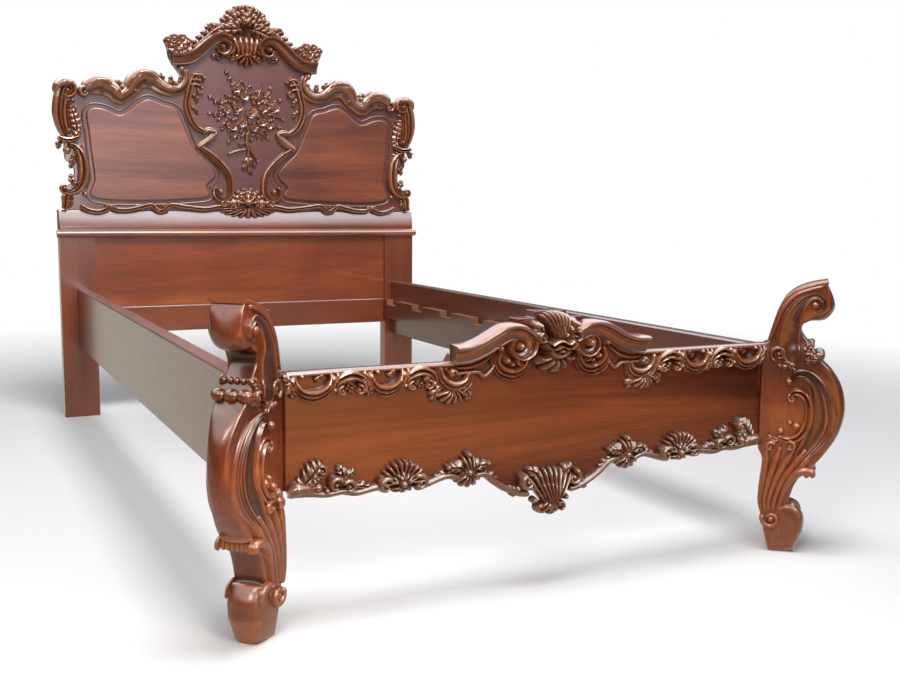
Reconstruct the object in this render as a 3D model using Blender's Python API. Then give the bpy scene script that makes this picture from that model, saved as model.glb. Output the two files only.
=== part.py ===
"""Carved bed frame: a tall shaped headboard, a low footboard on scrolled corner legs, and two side rails.

Units are metres. +X is to the right seen from the foot, +Y runs from the foot to the head and +Z is up.
The frame stands on z = 0 and is centred on x = 0 and y = 0.
"""

import math

import bmesh
import bpy
import numpy as np

for old in list(bpy.data.objects):
    bpy.data.objects.remove(old)

# Bed space and joints
INSIDE_WIDTH = 1.084
INSIDE_LENGTH = 2.001
JOINT_GAP = 0.0003
CARVING_GAP = 0.0005
ROOM_MARGIN = 0.015
SINK_STEP = 0.0011

# Side rails and the notched ledgers that carry the slats
RAIL_THICKNESS = 0.036
RAIL_HEIGHT = 0.196
RAIL_TOP = 0.428
RAIL_EASING = 0.003
LEDGER_THICKNESS = 0.026
LEDGER_HEIGHT = 0.066
LEDGER_DROP = 0.068
NOTCH_COUNT = 9
NOTCH_WIDTH = 0.080
NOTCH_DEPTH = 0.019
NOTCH_MARGIN = 0.025

# Headboard frame
HEAD_OVERHANG = 0.052
POST_WIDTH = 0.112
POST_DEPTH = 0.045
LOWER_RAIL_BOTTOM = 0.275
LOWER_RAIL_HEIGHT = 0.090
LOWER_RAIL_THICKNESS = 0.034
LOWER_RAIL_SETBACK = 0.004
LOWER_PANEL_THICKNESS = 0.018
LOWER_PANEL_SETBACK = 0.010
MOULDING_BOTTOM = 0.597
MOULDING_HEIGHT = 0.026
MOULDING_DEPTH = 0.018
MOULDING_OVERHANG = 0.008
BAND_HEIGHT = 0.090
COVE_HEIGHT = 0.027
COVE_DEPTH = 0.012
SHOULDER_ROUND = 0.022
CLEAT_WIDTH = 0.140
CLEAT_HEIGHT = 0.038
CLEAT_DEPTH = 0.020
CLEAT_DROP = 0.090

# Carved headboard
CARVED_HEIGHT = 0.708
BOARD_THICKNESS = 0.028
FIELD_RISE = 0.006
FIELD_CHAMFER = 0.003
WAVE_RISE = 0.026
FRAME_RISE = 0.018
PEDIMENT_RISE = 0.040
BORDER_RISE = 0.016
FLOWER_RISE = 0.030
SHELL_RISE = 0.024
LEAF_RISE = 0.018
STEM_RISE = 0.012

# Footboard
PANEL_SETBACK = 0.033
PANEL_THICKNESS = 0.034
PANEL_BOTTOM = 0.228
PANEL_HEIGHT = 0.209
CORNICE_FRONT = 0.032
CREST_FRONT = 0.050
SCROLL_RISE = 0.018
APRON_RISE = 0.016
BEAD_RISE = 0.012

# Scrolled corner legs
LEG_HEIGHT = 0.567
LEG_REACH = 0.167
LEG_THICKNESS = 0.067
KNEE_ROUND = 0.016
FOOT_PINCH = 0.005
LEG_SCROLL_RISE = 0.008

# Corner blocks behind the legs
BLOCK_INSET = 0.010
BLOCK_END = 0.076

# Rail hooks
HOOK_PLATE_WIDTH = 0.020
HOOK_PLATE_HEIGHT = 0.120
HOOK_PLATE_THICKNESS = 0.0025
HOOK_SPACING = 0.070
HOOK_HEIGHT = 0.022
HOOK_REACH = 0.014
HOOK_THICKNESS = 0.003
HOOK_CLEARANCE = 0.0006

# Places worked out from the sizes above
RAIL_INNER = INSIDE_WIDTH / 2
RAIL_OUTER = RAIL_INNER + RAIL_THICKNESS
RAIL_BOTTOM = RAIL_TOP - RAIL_HEIGHT
LEDGER_TOP = RAIL_TOP - LEDGER_DROP
PANEL_HALF = RAIL_INNER - PANEL_SETBACK
PANEL_TOP = PANEL_BOTTOM + PANEL_HEIGHT
HEAD_HALF = RAIL_OUTER + HEAD_OVERHANG
HEAD_FRONT = PANEL_THICKNESS + INSIDE_LENGTH
HEAD_BACK = HEAD_FRONT + POST_DEPTH
POST_INNER = HEAD_HALF - POST_WIDTH
LOWER_RAIL_TOP = LOWER_RAIL_BOTTOM + LOWER_RAIL_HEIGHT
BAND_TOP = MOULDING_BOTTOM + BAND_HEIGHT
BOARD_FRONT = HEAD_FRONT + COVE_DEPTH
CARVED_BOTTOM = BAND_TOP + JOINT_GAP
HEAD_UNIT = HEAD_HALF / 630
FOOT_UNIT = PANEL_HALF / 509

ROOT_HALF = math.sqrt(0.5)

MAHOGANY = (0.19, 0.060, 0.030, 1.0)
CARVING = (0.14, 0.048, 0.026, 1.0)
FIELD = (0.22, 0.072, 0.036, 1.0)
STEEL = (0.45, 0.45, 0.46, 1.0)


# The carving is drawn in units of about a millimetre, and each drawing is stretched to its board

LEAF_TIP = 1.2


def on_head(x, z):
    """Where a point of the headboard's drawing lies: 630 units to the half width, 708 to the carved height."""
    return x * HEAD_UNIT, CARVED_BOTTOM + z / 708 * CARVED_HEIGHT


def on_foot(x, z):
    """Where a point of the footboard's drawing lies: 509 units to the half width, 209 to the panel's height."""
    return x * FOOT_UNIT, PANEL_BOTTOM + z / 209 * PANEL_HEIGHT


def on_leg(u, z):
    """Where a point of the leg's side view lies: 167 units to its reach and 567 to its height."""
    return u / 167 * LEG_REACH, z / 567 * LEG_HEIGHT


def drawn(place, points):
    return [place(*point) for point in points]


def curve(points, steps=3, closed=False):
    """Points along a smooth curve through the given ones."""
    knots = np.array(points, float)
    if closed:
        ends = np.vstack([knots[-1:], knots, knots[:2]])
    else:
        ends = np.vstack([2 * knots[0] - knots[1], knots, 2 * knots[-1] - knots[-2]])
    found = []
    for a, b, c, d in zip(ends, ends[1:], ends[2:], ends[3:]):
        for t in np.arange(steps) / steps:
            found.append(
                0.5 * (2 * b + (c - a) * t + (2 * a - 5 * b + 4 * c - d) * t**2 + (3 * b - a - 3 * c + d) * t**3)
            )
    if not closed:
        found.append(knots[-1])
    return np.array(found)


def volute(points, centre, turn, shrink=0.45, count=6):
    """The points with a spiral after them, which winds round centre by turn radians."""
    arm = np.array(points[-1]) - np.array(centre)
    start = math.atan2(arm[1], arm[0])
    found = list(points)
    for k in range(1, count + 1):
        share = k / count
        radius = np.hypot(*arm) * (1 - (1 - shrink) * share)
        angle = start + turn * share
        found.append((centre[0] + radius * math.cos(angle), centre[1] + radius * math.sin(angle)))
    return found


def across(path):
    """The unit vectors square to a path, to its left."""
    along = np.gradient(path, axis=0)
    along /= np.linalg.norm(along, axis=1)[:, None]
    return np.stack([-along[:, 1], along[:, 0]], axis=1)


def offset(path, distance):
    return path + across(path) * distance


def spread(values, count):
    """The values at even steps, as many as count, read from a few."""
    values = np.atleast_1d(np.array(values, float))
    return np.interp(np.linspace(0, 1, count), np.linspace(0, 1, len(values)), values)


def shell_of(rings):
    """A closed shell through rings of equal length, with a face over each end."""
    rings = np.array(rings)
    count, size = rings.shape[:2]
    faces = [tuple(range(size)), tuple((count - 1) * size + k for k in range(size - 1, -1, -1))]
    for i in range(count - 1):
        for k in range(size):
            n = (k + 1) % size
            faces.append((i * size + k, (i + 1) * size + k, (i + 1) * size + n, i * size + n))
    return rings.reshape(-1, 3), faces


ROUND = ((-1, 0.5), (-0.45, 1), (0.45, 1), (1, 0.5))
RIDGE = ((-1, 0.35), (0, 1), (1, 0.35))
WALLED = ((-1, 1), (1, 1))
MOULDED = ((-1, 0.85), (-0.5, 1), (0.1, 0.6), (1, 0.78))


def ribbon(points, half, rise, section=ROUND, steps=3, grow=0.0):
    """A moulding swept along a curve of a drawing: half its width there, its height in metres, and its section.

    With grow it is the room that the moulding needs: wider and longer by grow, and well past its front and back.
    """
    path = curve(points, steps)
    side = across(path)
    low = -ROOM_MARGIN if grow else 0.0
    if grow:
        section = WALLED
        path[0] += (side[0, 1] * -grow, side[0, 0] * grow)
        path[-1] += (side[-1, 1] * grow, side[-1, 0] * -grow)
    rings = []
    for p, n, w, h in zip(path, side, spread(half, len(path)) + grow, spread(rise, len(path))):
        h = h + ROOM_MARGIN if grow else h
        ring = [(p[0] - n[0] * w, p[1] - n[1] * w, low)]
        ring += [(p[0] + n[0] * w * s, p[1] + n[1] * w * s, h * t) for s, t in section]
        ring.append((p[0] + n[0] * w, p[1] + n[1] * w, low))
        rings.append(ring)
    return shell_of(rings)


def dome(outline, centre, edge, peak, grow=0.0, flat=False):
    """A cushion over an outline: edge is its height at the rim, peak that at centre. A flat one has plain slopes."""
    outline = np.array(outline, float)
    middle = np.array(centre, float)
    rim = np.broadcast_to(np.atleast_1d(edge), (len(outline),))
    low = 0.0
    if grow:
        arms = outline - middle
        outline = outline + arms / np.linalg.norm(arms, axis=1)[:, None] * grow
        peak = peak + ROOM_MARGIN
        rim = np.full(len(outline), peak)
        low = -ROOM_MARGIN
        flat = True
    base = [(x, z, low) for x, z in outline]
    top = [(x, z, h) for (x, z), h in zip(outline, rim)]
    n = len(outline)
    faces = [tuple(range(n))]
    corners = base + top
    if flat:
        for k in range(n):
            m = (k + 1) % n
            faces.append((k, n + k, n + m, m))
            faces.append((n + k, 2 * n, n + m))
    else:
        corners += [(*(middle + (p - middle) * 0.5), 0.25 * h + 0.75 * peak) for p, h in zip(outline, rim)]
        for k in range(n):
            m = (k + 1) % n
            faces.append((k, n + k, n + m, m))
            faces.append((n + k, 2 * n + k, 2 * n + m, n + m))
            faces.append((2 * n + k, 3 * n, 2 * n + m))
    return np.array(corners + [(*middle, peak)]), faces


def lobed(centre, radius, lobes, depth, stretch=1.0, turn=0.0):
    """The outline of a flower, three points to a lobe."""
    count = 3 * lobes
    found = []
    for k in range(count):
        angle = turn + 2 * math.pi * k / count
        r = radius * (1 - depth * (0.5 - 0.5 * math.cos(lobes * (angle - turn))))
        found.append((centre[0] + r * math.cos(angle), centre[1] + stretch * r * math.sin(angle)))
    return found


def flower(centre, radius, rise, lobes=5, depth=0.22, stretch=1.0, turn=0.0, grow=0.0, flat=False):
    return dome(lobed(centre, radius, lobes, depth, stretch, turn), centre, 0.45 * rise, rise, grow, flat)


def button(centre, radius, rise, sides=7, grow=0.0):
    angles = 2 * math.pi * np.arange(sides) / sides
    outline = np.stack([centre[0] + radius * np.cos(angles), centre[1] + radius * np.sin(angles)], axis=1)
    return dome(outline, centre, 0.6 * rise, rise, grow, True)


def fan(centre, radius, first, last, ribs, rise, stretch=1.0, heel=0.25, grow=0.0):
    """A scallop: ribs spread from a heel at centre, with a round lobe at the end of each."""
    outline = []
    edge = []
    for k in range(2 * ribs + 1):
        angle = first + (last - first) * k / (2 * ribs)
        lobe = 1.0 if k % 2 else 0.84
        outline.append(
            (centre[0] + radius * lobe * math.cos(angle), centre[1] + stretch * radius * lobe * math.sin(angle))
        )
        edge.append(rise * (0.6 if k % 2 else 0.35))
    middle = 0.5 * (first + last)
    outline.append((centre[0] - heel * radius * math.cos(middle), centre[1] - heel * radius * math.sin(middle)))
    edge.append(rise * 0.5)
    return dome(outline, centre, edge, rise, grow)


def leaf(points, half, rise, lobes=4, steps=2, grow=0.0):
    """A pointed leaf along a spine, with cut lobes down both sides and a raised vein."""
    count = (len(points) - 1) * steps + 1
    t = np.linspace(0, 1, count)
    body = np.sin(math.pi * np.clip(0.12 + 0.86 * t, 0, 1)) ** 0.8
    nicks = 0.78 + 0.22 * np.abs(np.cos(math.pi * lobes * t))
    width = half * body * nicks + LEAF_TIP
    return ribbon(points, width, rise * (0.6 + 0.4 * np.sin(math.pi * t)), RIDGE, steps, grow)


def slab(outline, low, high):
    outline = np.array(outline, float)
    return shell_of([[(x, z, low) for x, z in outline], [(x, z, high) for x, z in outline]])


def box(low, high):
    (x0, y0, z0), (x1, y1, z1) = low, high
    return shell_of(
        [[(x, y0, z0), (x, y1, z0), (x, y1, z1), (x, y0, z1)] for x in (x0, x1)]
    )


def prism(outline, low, high):
    """An upright solid with a plan outline."""
    return shell_of([[(x, y, z) for x, y in outline] for z in (low, high)])


def facing(shell, y):
    """A shell drawn in the plane x, z with its height towards the foot, set on the plane at y."""
    corners, faces = shell
    return np.stack([corners[:, 0], y - corners[:, 2], corners[:, 1]], axis=1), faces


def placed(shell, board):
    """A shell of a drawing, stretched to its board: the drawing's place there, and the plane of the board's face."""
    corners, faces = shell
    place, y = board
    x, z = place(corners[:, 0], corners[:, 1])
    return facing((np.stack([x, z, corners[:, 2]], axis=1), faces), y)


def mesh_of(name, shell):
    corners, faces = shell
    shape = bmesh.new()
    made = [shape.verts.new(tuple(corner)) for corner in corners]
    for face in faces:
        shape.faces.new([made[k] for k in face])
    bmesh.ops.recalc_face_normals(shape, faces=shape.faces)
    mesh = bpy.data.meshes.new(name)
    shape.to_mesh(mesh)
    shape.free()
    return mesh


def helper(name, shape):
    mesh = shape if isinstance(shape, bpy.types.Mesh) else mesh_of(name, shape)
    made = bpy.data.objects.new(name, mesh)
    bpy.context.scene.collection.objects.link(made)
    made.hide_render = True
    made.display_type = "WIRE"
    return made


def largest(mesh):
    """The mesh without the offcuts that a cut can leave."""
    shape = bmesh.new()
    shape.from_mesh(mesh)
    left = set(shape.verts)
    groups = []
    while left:
        group = set()
        edge = [left.pop()]
        while edge:
            vert = edge.pop()
            group.add(vert)
            for link in vert.link_edges:
                other = link.other_vert(vert)
                if other in left:
                    left.discard(other)
                    edge.append(other)
        groups.append(group)
    groups.sort(key=len)
    bmesh.ops.delete(shape, geom=[v for group in groups[:-1] for v in group], context="VERTS")
    shape.to_mesh(mesh)
    shape.free()
    return mesh


def combined(name, shells, operation):
    """The first shell with the others joined to it or cut from it, as one mesh."""
    base = helper(name, shells[0])
    others = [helper(name + "_tool", shell) for shell in shells[1:]]
    for other in others:
        step = base.modifiers.new("join", "BOOLEAN")
        step.operation = operation
        step.object = other
        step.solver = "EXACT"
        step.use_self = operation == "UNION"
    bpy.context.view_layer.update()
    seen = base.evaluated_get(bpy.context.evaluated_depsgraph_get())
    mesh = bpy.data.meshes.new_from_object(seen)
    mesh.name = name
    for other in [base] + others:
        bpy.data.objects.remove(other)
    return mesh


def fused(name, shells):
    return combined(name, shells, "UNION") if len(shells) > 1 else mesh_of(name, shells[0])


def cut(name, shells):
    return largest(combined(name, shells, "DIFFERENCE"))


def eased(name, shell, width, sharp=0.6):
    """A solid with its corners taken off by width."""
    mesh = mesh_of(name, shell)
    shape = bmesh.new()
    shape.from_mesh(mesh)
    edges = [edge for edge in shape.edges if edge.calc_face_angle(0) > sharp]
    bmesh.ops.bevel(shape, geom=edges, offset=width, segments=1, affect="EDGES", profile=0.5)
    shape.to_mesh(mesh)
    shape.free()
    return mesh


frame = bpy.data.objects.new("bed_frame", None)
bpy.context.scene.collection.objects.link(frame)


def finish(name, mesh, colour, roughness, metallic=0.0):
    """One named piece of the bed, with its own material."""
    made = bpy.data.objects.new(name, mesh)
    bpy.context.scene.collection.objects.link(made)
    made.parent = frame
    look = bpy.data.materials.new(name)
    look.use_nodes = True
    surface = look.node_tree.nodes["Principled BSDF"]
    surface.inputs["Base Color"].default_value = colour
    surface.inputs["Roughness"].default_value = roughness
    surface.inputs["Metallic"].default_value = metallic
    mesh.materials.clear()
    mesh.materials.append(look)
    mesh.shade_smooth()
    mesh.set_sharp_from_angle(angle=math.radians(35))
    return made


def other_side(name, left, colour, roughness, metallic=0.0):
    """The mirror image of a left-hand piece."""
    shape = bmesh.new()
    shape.from_mesh(left.data)
    for vert in shape.verts:
        vert.co.x = -vert.co.x
    bmesh.ops.reverse_faces(shape, faces=shape.faces)
    mesh = bpy.data.meshes.new(name)
    shape.to_mesh(mesh)
    shape.free()
    return finish(name, mesh, colour, roughness, metallic)


def pair(name, shells, colour, roughness, y=None, build=fused, metallic=0.0):
    """A piece on the left and its mirror image on the right."""
    if y is not None:
        shells = [facing(shell, y) for shell in shells]
    left = finish(name + "_left", build(name + "_left", shells), colour, roughness, metallic)
    return left, other_side(name + "_right", left, colour, roughness, metallic)


def sunken(shell, level):
    """A shell whose back lies a little deeper than its neighbours', so that their backs don't fall together."""
    corners, faces = shell
    deep = corners.copy()
    deep[corners[:, 2] <= 0, 2] = -SINK_STEP * level
    return deep, faces


def carved(name, shells, board, rooms=(), seats=()):
    """One piece of carving on a board, cut clear of its neighbours' rooms and of the seats it stands on."""
    sunk = [placed(sunken(shell, k + 1), board) for k, shell in enumerate(shells)]
    y = board[1]
    wide = 2 * HEAD_HALF
    tall = BAND_TOP + 2 * CARVED_HEIGHT
    behind = box((-wide, y, -ROOM_MARGIN), (wide, y + BOARD_THICKNESS, tall))
    cutters = [behind] + [placed(room, board) for room in rooms] + list(seats)
    return finish(name, cut(name, [fused(name, sunk)] + cutters), CARVING, 0.28)


def turned_over(shells):
    """Shells of a drawing's left half, drawn on its right half."""
    return [(corners * (-1, 1, 1), faces) for corners, faces in shells]


def carved_pair(name, shells, board, rooms=(), seats=()):
    """A piece of carving on the left half and its mirror image on the right."""
    left = carved(name + "_left", shells, board, rooms, seats)
    return left, other_side(name + "_right", left, CARVING, 0.28)


# Rail hooks: a plate let into the rail's end, with two hooks that drop into a slotted plate
HOOK_X = -(RAIL_INNER + RAIL_THICKNESS / 2)
HOOK_Z = RAIL_TOP - RAIL_HEIGHT / 2
RECESS = HOOK_PLATE_THICKNESS + JOINT_GAP


def block_at(y0, y1, width, height, z):
    return box(
        (HOOK_X - width / 2, min(y0, y1), z - height / 2),
        (HOOK_X + width / 2, max(y0, y1), z + height / 2),
    )


def hook_levels():
    return HOOK_Z - HOOK_SPACING / 2, HOOK_Z + HOOK_SPACING / 2


def hook_set(face, toward):
    """The rail's plate, the slotted plate, and the room that each needs, where a rail's end meets face."""
    seat = face - toward * JOINT_GAP
    plate = [block_at(seat - toward * HOOK_PLATE_THICKNESS, seat, HOOK_PLATE_WIDTH, HOOK_PLATE_HEIGHT, HOOK_Z)]
    for z in hook_levels():
        root = seat - toward * HOOK_PLATE_THICKNESS / 2
        plate.append(block_at(root, face + toward * HOOK_REACH, HOOK_THICKNESS, HOOK_HEIGHT, z))
    wide = HOOK_PLATE_WIDTH + 2 * JOINT_GAP
    tall = HOOK_PLATE_HEIGHT + 2 * JOINT_GAP
    rail_room = [block_at(seat - toward * RECESS, seat + toward * RECESS, wide, tall, HOOK_Z)]
    keeper = [block_at(face, face + toward * HOOK_PLATE_THICKNESS, HOOK_PLATE_WIDTH, HOOK_PLATE_HEIGHT, HOOK_Z)]
    post_room = [block_at(face - toward * RECESS, face + toward * RECESS, wide, tall, HOOK_Z)]
    slot_wide = HOOK_THICKNESS + 2 * HOOK_CLEARANCE
    slot_tall = HOOK_HEIGHT + 2 * HOOK_CLEARANCE
    for z in hook_levels():
        keeper.append(block_at(face - toward * RECESS, face + toward * 2 * RECESS, slot_wide, slot_tall, z))
        post_room.append(block_at(face, face + toward * (HOOK_REACH + HOOK_CLEARANCE), slot_wide, slot_tall, z))
    return plate, rail_room, keeper, post_room


head_hooks = hook_set(HEAD_FRONT, 1)
foot_hooks = hook_set(BLOCK_END, -1)
for place, (plate, _, keeper, _) in (("head", head_hooks), ("foot", foot_hooks)):
    pair("rail_hook_" + place, plate, STEEL, 0.35, build=fused, metallic=1.0)
    pair("rail_keeper_" + place, keeper, STEEL, 0.35, build=cut, metallic=1.0)

# Side rails
rail = box(
    (-RAIL_OUTER, BLOCK_END + JOINT_GAP, RAIL_BOTTOM),
    (-RAIL_INNER, HEAD_FRONT - JOINT_GAP, RAIL_TOP),
)


def eased_rail(name, shells):
    """A rail with its long edges eased and its ends let in for the hook plates."""
    return cut(name, [eased(name, shells[0], RAIL_EASING)] + shells[1:])


pair("side_rail", [rail] + head_hooks[1] + foot_hooks[1], MAHOGANY, 0.3, build=eased_rail)

# Ledgers, with an even row of notches for the slats
ledger_start = BLOCK_END + 2 * JOINT_GAP
ledger_end = HEAD_FRONT - 2 * JOINT_GAP
notch_run = ledger_end - ledger_start - 2 * NOTCH_MARGIN - NOTCH_WIDTH
notch_starts = ledger_start + NOTCH_MARGIN + notch_run * np.arange(NOTCH_COUNT) / (NOTCH_COUNT - 1)
ledger_side = [(ledger_start, LEDGER_TOP - LEDGER_HEIGHT), (ledger_end, LEDGER_TOP - LEDGER_HEIGHT)]
ledger_side.append((ledger_end, LEDGER_TOP))
for start in notch_starts[::-1]:
    ledger_side += [(start + NOTCH_WIDTH, LEDGER_TOP), (start + NOTCH_WIDTH, LEDGER_TOP - NOTCH_DEPTH)]
    ledger_side += [(start, LEDGER_TOP - NOTCH_DEPTH), (start, LEDGER_TOP)]
ledger_side.append((ledger_start, LEDGER_TOP))
ledger_outer = -RAIL_INNER + JOINT_GAP
ledger = shell_of([[(x, y, z) for y, z in ledger_side] for x in (ledger_outer, ledger_outer + LEDGER_THICKNESS)])
pair("ledger", [ledger], MAHOGANY, 0.45)

# Headboard frame: posts, lower rail, lower panel, band and half-round moulding
cove = [(HEAD_FRONT - COVE_DEPTH, BAND_TOP - COVE_HEIGHT)]
for k in range(5):
    angle = math.pi / 2 * k / 4
    cove.append(
        (HEAD_FRONT + COVE_DEPTH * (1 - math.cos(angle)), BAND_TOP - COVE_HEIGHT * (1 - math.sin(angle)))
    )
cove += [(BOARD_FRONT, BAND_TOP + COVE_HEIGHT), (HEAD_FRONT - COVE_DEPTH, BAND_TOP + COVE_HEIGHT)]
cove_cutter = shell_of([[(x, y, z) for y, z in cove] for x in (-2 * HEAD_HALF, 2 * HEAD_HALF)])
band_side = [(y - JOINT_GAP, z + JOINT_GAP) for y, z in cove[1:6]]
band_side += [(HEAD_BACK, BAND_TOP + JOINT_GAP), (HEAD_BACK, MOULDING_BOTTOM)]
band_side.append((HEAD_FRONT - JOINT_GAP, MOULDING_BOTTOM))
band_room = shell_of([[(x, y, z) for y, z in band_side] for x in (-2 * HEAD_HALF, 2 * HEAD_HALF)])

post = [(-HEAD_HALF, 0.0), (-POST_INNER, 0.0), (-POST_INNER, BAND_TOP)]
for k in range(5):
    angle = math.pi / 2 * k / 4
    post.append(
        (
            -HEAD_HALF + SHOULDER_ROUND * (1 - math.sin(angle)),
            BAND_TOP - SHOULDER_ROUND * (1 - math.cos(angle)),
        )
    )
post_solid = facing(slab(post, -POST_DEPTH, 0.0), HEAD_FRONT)
pair("head_post", [post_solid, cove_cutter] + head_hooks[3], MAHOGANY, 0.3, build=cut)

inner = POST_INNER - JOINT_GAP
lower_front = HEAD_FRONT + LOWER_RAIL_SETBACK
lower_rail = box(
    (-inner, lower_front, LOWER_RAIL_BOTTOM),
    (inner, lower_front + LOWER_RAIL_THICKNESS, LOWER_RAIL_TOP),
)
finish("head_lower_rail", eased("head_lower_rail", lower_rail, RAIL_EASING), MAHOGANY, 0.3)
panel_front = HEAD_FRONT + LOWER_PANEL_SETBACK
lower_panel = box(
    (-inner, panel_front, LOWER_RAIL_TOP + JOINT_GAP),
    (inner, panel_front + LOWER_PANEL_THICKNESS, MOULDING_BOTTOM - JOINT_GAP),
)
finish("head_lower_panel", mesh_of("head_lower_panel", lower_panel), FIELD, 0.25)
band = box((-inner, HEAD_FRONT, MOULDING_BOTTOM), (inner, HEAD_BACK, BAND_TOP))
finish("head_band", cut("head_band", [band, cove_cutter]), MAHOGANY, 0.28)

half_round = []
for k in range(9):
    angle = math.pi * (k / 8 - 0.5)
    half_round.append(
        (
            HEAD_FRONT - JOINT_GAP - MOULDING_DEPTH * math.cos(angle),
            MOULDING_BOTTOM + MOULDING_HEIGHT / 2 * (1 + math.sin(angle)),
        )
    )
moulding_half = HEAD_HALF + MOULDING_OVERHANG
moulding = shell_of([[(x, y, z) for y, z in half_round] for x in (-moulding_half, moulding_half)])
finish("head_moulding", mesh_of("head_moulding", moulding), MAHOGANY, 0.25)

cleat_top = RAIL_TOP - CLEAT_DROP
head_cleat = box(
    (-CLEAT_WIDTH / 2, lower_front - JOINT_GAP - CLEAT_DEPTH, cleat_top - CLEAT_HEIGHT),
    (CLEAT_WIDTH / 2, lower_front - JOINT_GAP, cleat_top),
)
finish("head_cleat", mesh_of("head_cleat", head_cleat), MAHOGANY, 0.45)
foot_cleat = box(
    (-CLEAT_WIDTH / 2, PANEL_THICKNESS + JOINT_GAP, cleat_top - CLEAT_HEIGHT),
    (CLEAT_WIDTH / 2, PANEL_THICKNESS + JOINT_GAP + CLEAT_DEPTH, cleat_top),
)
finish("foot_cleat", mesh_of("foot_cleat", foot_cleat), MAHOGANY, 0.45)


# Headboard drawing, left half
WAVE = (
    (-536, 381), (-518, 398), (-485, 408), (-452, 395), (-426, 373), (-395, 391), (-371, 424), (-344, 439),
    (-315, 430), (-288, 411), (-258, 401), (-229, 407), (-210, 427), (-206, 448),
)
WAVE_EYE = (-224, 455)
PEDIMENT = (
    (-252, 503), (-224, 504), (-194, 511), (-165, 530), (-136, 556), (-108, 578), (-80, 584), (-55, 572),
)
PEDIMENT_EYE = (-82, 554)
SIDE_UPPER = ((-598, 238), (-612, 270), (-617, 315), (-611, 360), (-601, 392), (-586, 404))
SIDE_EYE = (-590, 384)
SIDE_LOWER = ((-584, 199), (-561, 186), (-549, 155), (-546, 115), (-554, 80), (-576, 59), (-600, 56))
CARTOUCHE = (
    (-150, 432), (-162, 458), (-180, 446), (-194, 408), (-204, 360), (-197, 318), (-176, 283), (-140, 263),
)
CARTOUCHE_BAR = ((-146, 268), (-106, 266), (-142, 226), (-172, 212))
CARTOUCHE_FOOT = ((-166, 216), (-132, 194), (-100, 166), (-74, 135), (-61, 105), (-60, 78))
CARTOUCHE_EYE = (-94, 66)
BORDER = (
    (-560, 14), (-536, 0), (-504, -6), (-478, 2), (-464, 12), (-446, 2), (-408, 1), (-368, 9), (-334, 17),
    (-318, 5), (-298, -4), (-282, 7), (-264, 18), (-226, 13), (-186, 8), (-150, 5), (-118, 10), (-84, 16),
)
ROSETTE = (-238, 557)


def wave(grow=0.0):
    """The wavy moulding along the headboard's top, rolled up at both ends."""
    half = (20, 26, 28, 24, 21, 25, 28, 26, 21, 18, 16, 12, 8)
    return [
        ribbon(volute(WAVE, WAVE_EYE, 2.6, 0.5, 4), half, WAVE_RISE, MOULDED, 2, grow),
        button(WAVE_EYE, 12, WAVE_RISE, grow=grow),
        button((-533, 379), 21, WAVE_RISE, grow=grow),
    ]


def pediment(grow=0.0):
    """One side of the broken pediment: an ogee cornice that rolls up at the middle."""
    half = (18, 18, 18, 17, 13, 8)
    return [
        ribbon(volute(PEDIMENT, PEDIMENT_EYE, -3.4, 0.5, 6), half, PEDIMENT_RISE, MOULDED, 2, grow),
        button(PEDIMENT_EYE, 18, 0.8 * PEDIMENT_RISE, grow=grow),
    ]


def side_scroll(grow=0.0):
    """Two C scrolls, a leaf and a foot down the headboard's outer edge."""
    upper = volute(SIDE_UPPER, SIDE_EYE, -2.2, 0.6, 3)
    knob = 0.85 * WAVE_RISE
    return [
        ribbon(upper, (12, 17, 17, 14, 9), WAVE_RISE, RIDGE, 2, grow),
        button(SIDE_EYE, 16, WAVE_RISE, grow=grow),
        leaf(((-576, 240), (-586, 280), (-594, 320), (-592, 372)), 16, LEAF_RISE, grow=grow),
        fan((-590, 216), 26, 0.3, math.pi - 0.3, 3, 1.1 * LEAF_RISE, 1.0, 0.7, grow),
        ribbon(SIDE_LOWER, (13, 16, 18, 16, 12), WAVE_RISE, RIDGE, 2, grow),
        button((-594, 190), 21, knob, grow=grow),
        button((-610, 65), 17, knob, grow=grow),
        leaf(((-596, 62), (-604, 30), (-612, 2)), 13, LEAF_RISE, grow=grow),
    ]


def cartouche(grow=0.0):
    """One side of the frame round the middle panel: a bracket, an arc, a kinked bar and a volute foot."""
    foot = volute(CARTOUCHE_FOOT, CARTOUCHE_EYE, -4.4, 0.72, 5)
    return [
        ribbon(CARTOUCHE, (8, 10, 10, 11, 10, 9), FRAME_RISE, RIDGE, 2, grow),
        button((-161, 430), 17, FRAME_RISE, grow=grow),
        ribbon(CARTOUCHE_BAR, 9, FRAME_RISE, RIDGE, 1, grow),
        ribbon(foot, (11, 11, 10, 8), FRAME_RISE, RIDGE, 2, grow),
        button(CARTOUCHE_EYE, 21, 0.6 * FRAME_RISE, grow=grow),
    ]


def base_shell(grow=0.0):
    """The shell at the foot of the middle panel."""
    return [
        fan((0, 18), 78, math.pi + 0.15, 2 * math.pi - 0.15, 6, SHELL_RISE, 0.45, 0.3, grow),
        fan((0, 14), 50, 0.15, math.pi - 0.15, 5, SHELL_RISE, 0.70, 0.3, grow),
        flower((0, 30), 18, FLOWER_RISE, grow=grow),
    ]


def keystone(grow=0.0):
    """The palmette that hangs between the pediment's volutes."""
    return [
        fan((0, 545), 52, math.pi + 0.5, 2 * math.pi - 0.5, 5, FLOWER_RISE, 0.95, 0.4, grow),
        leaf(((0, 520), (0, 560), (0, 606)), 34, 1.1 * FLOWER_RISE, 3, grow=grow),
    ]


def rosette(grow=0.0):
    return [
        flower(ROSETTE, 41, FLOWER_RISE, 6, 0.16, grow=grow),
        button(ROSETTE, 14, 1.25 * FLOWER_RISE, grow=grow),
    ]


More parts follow.
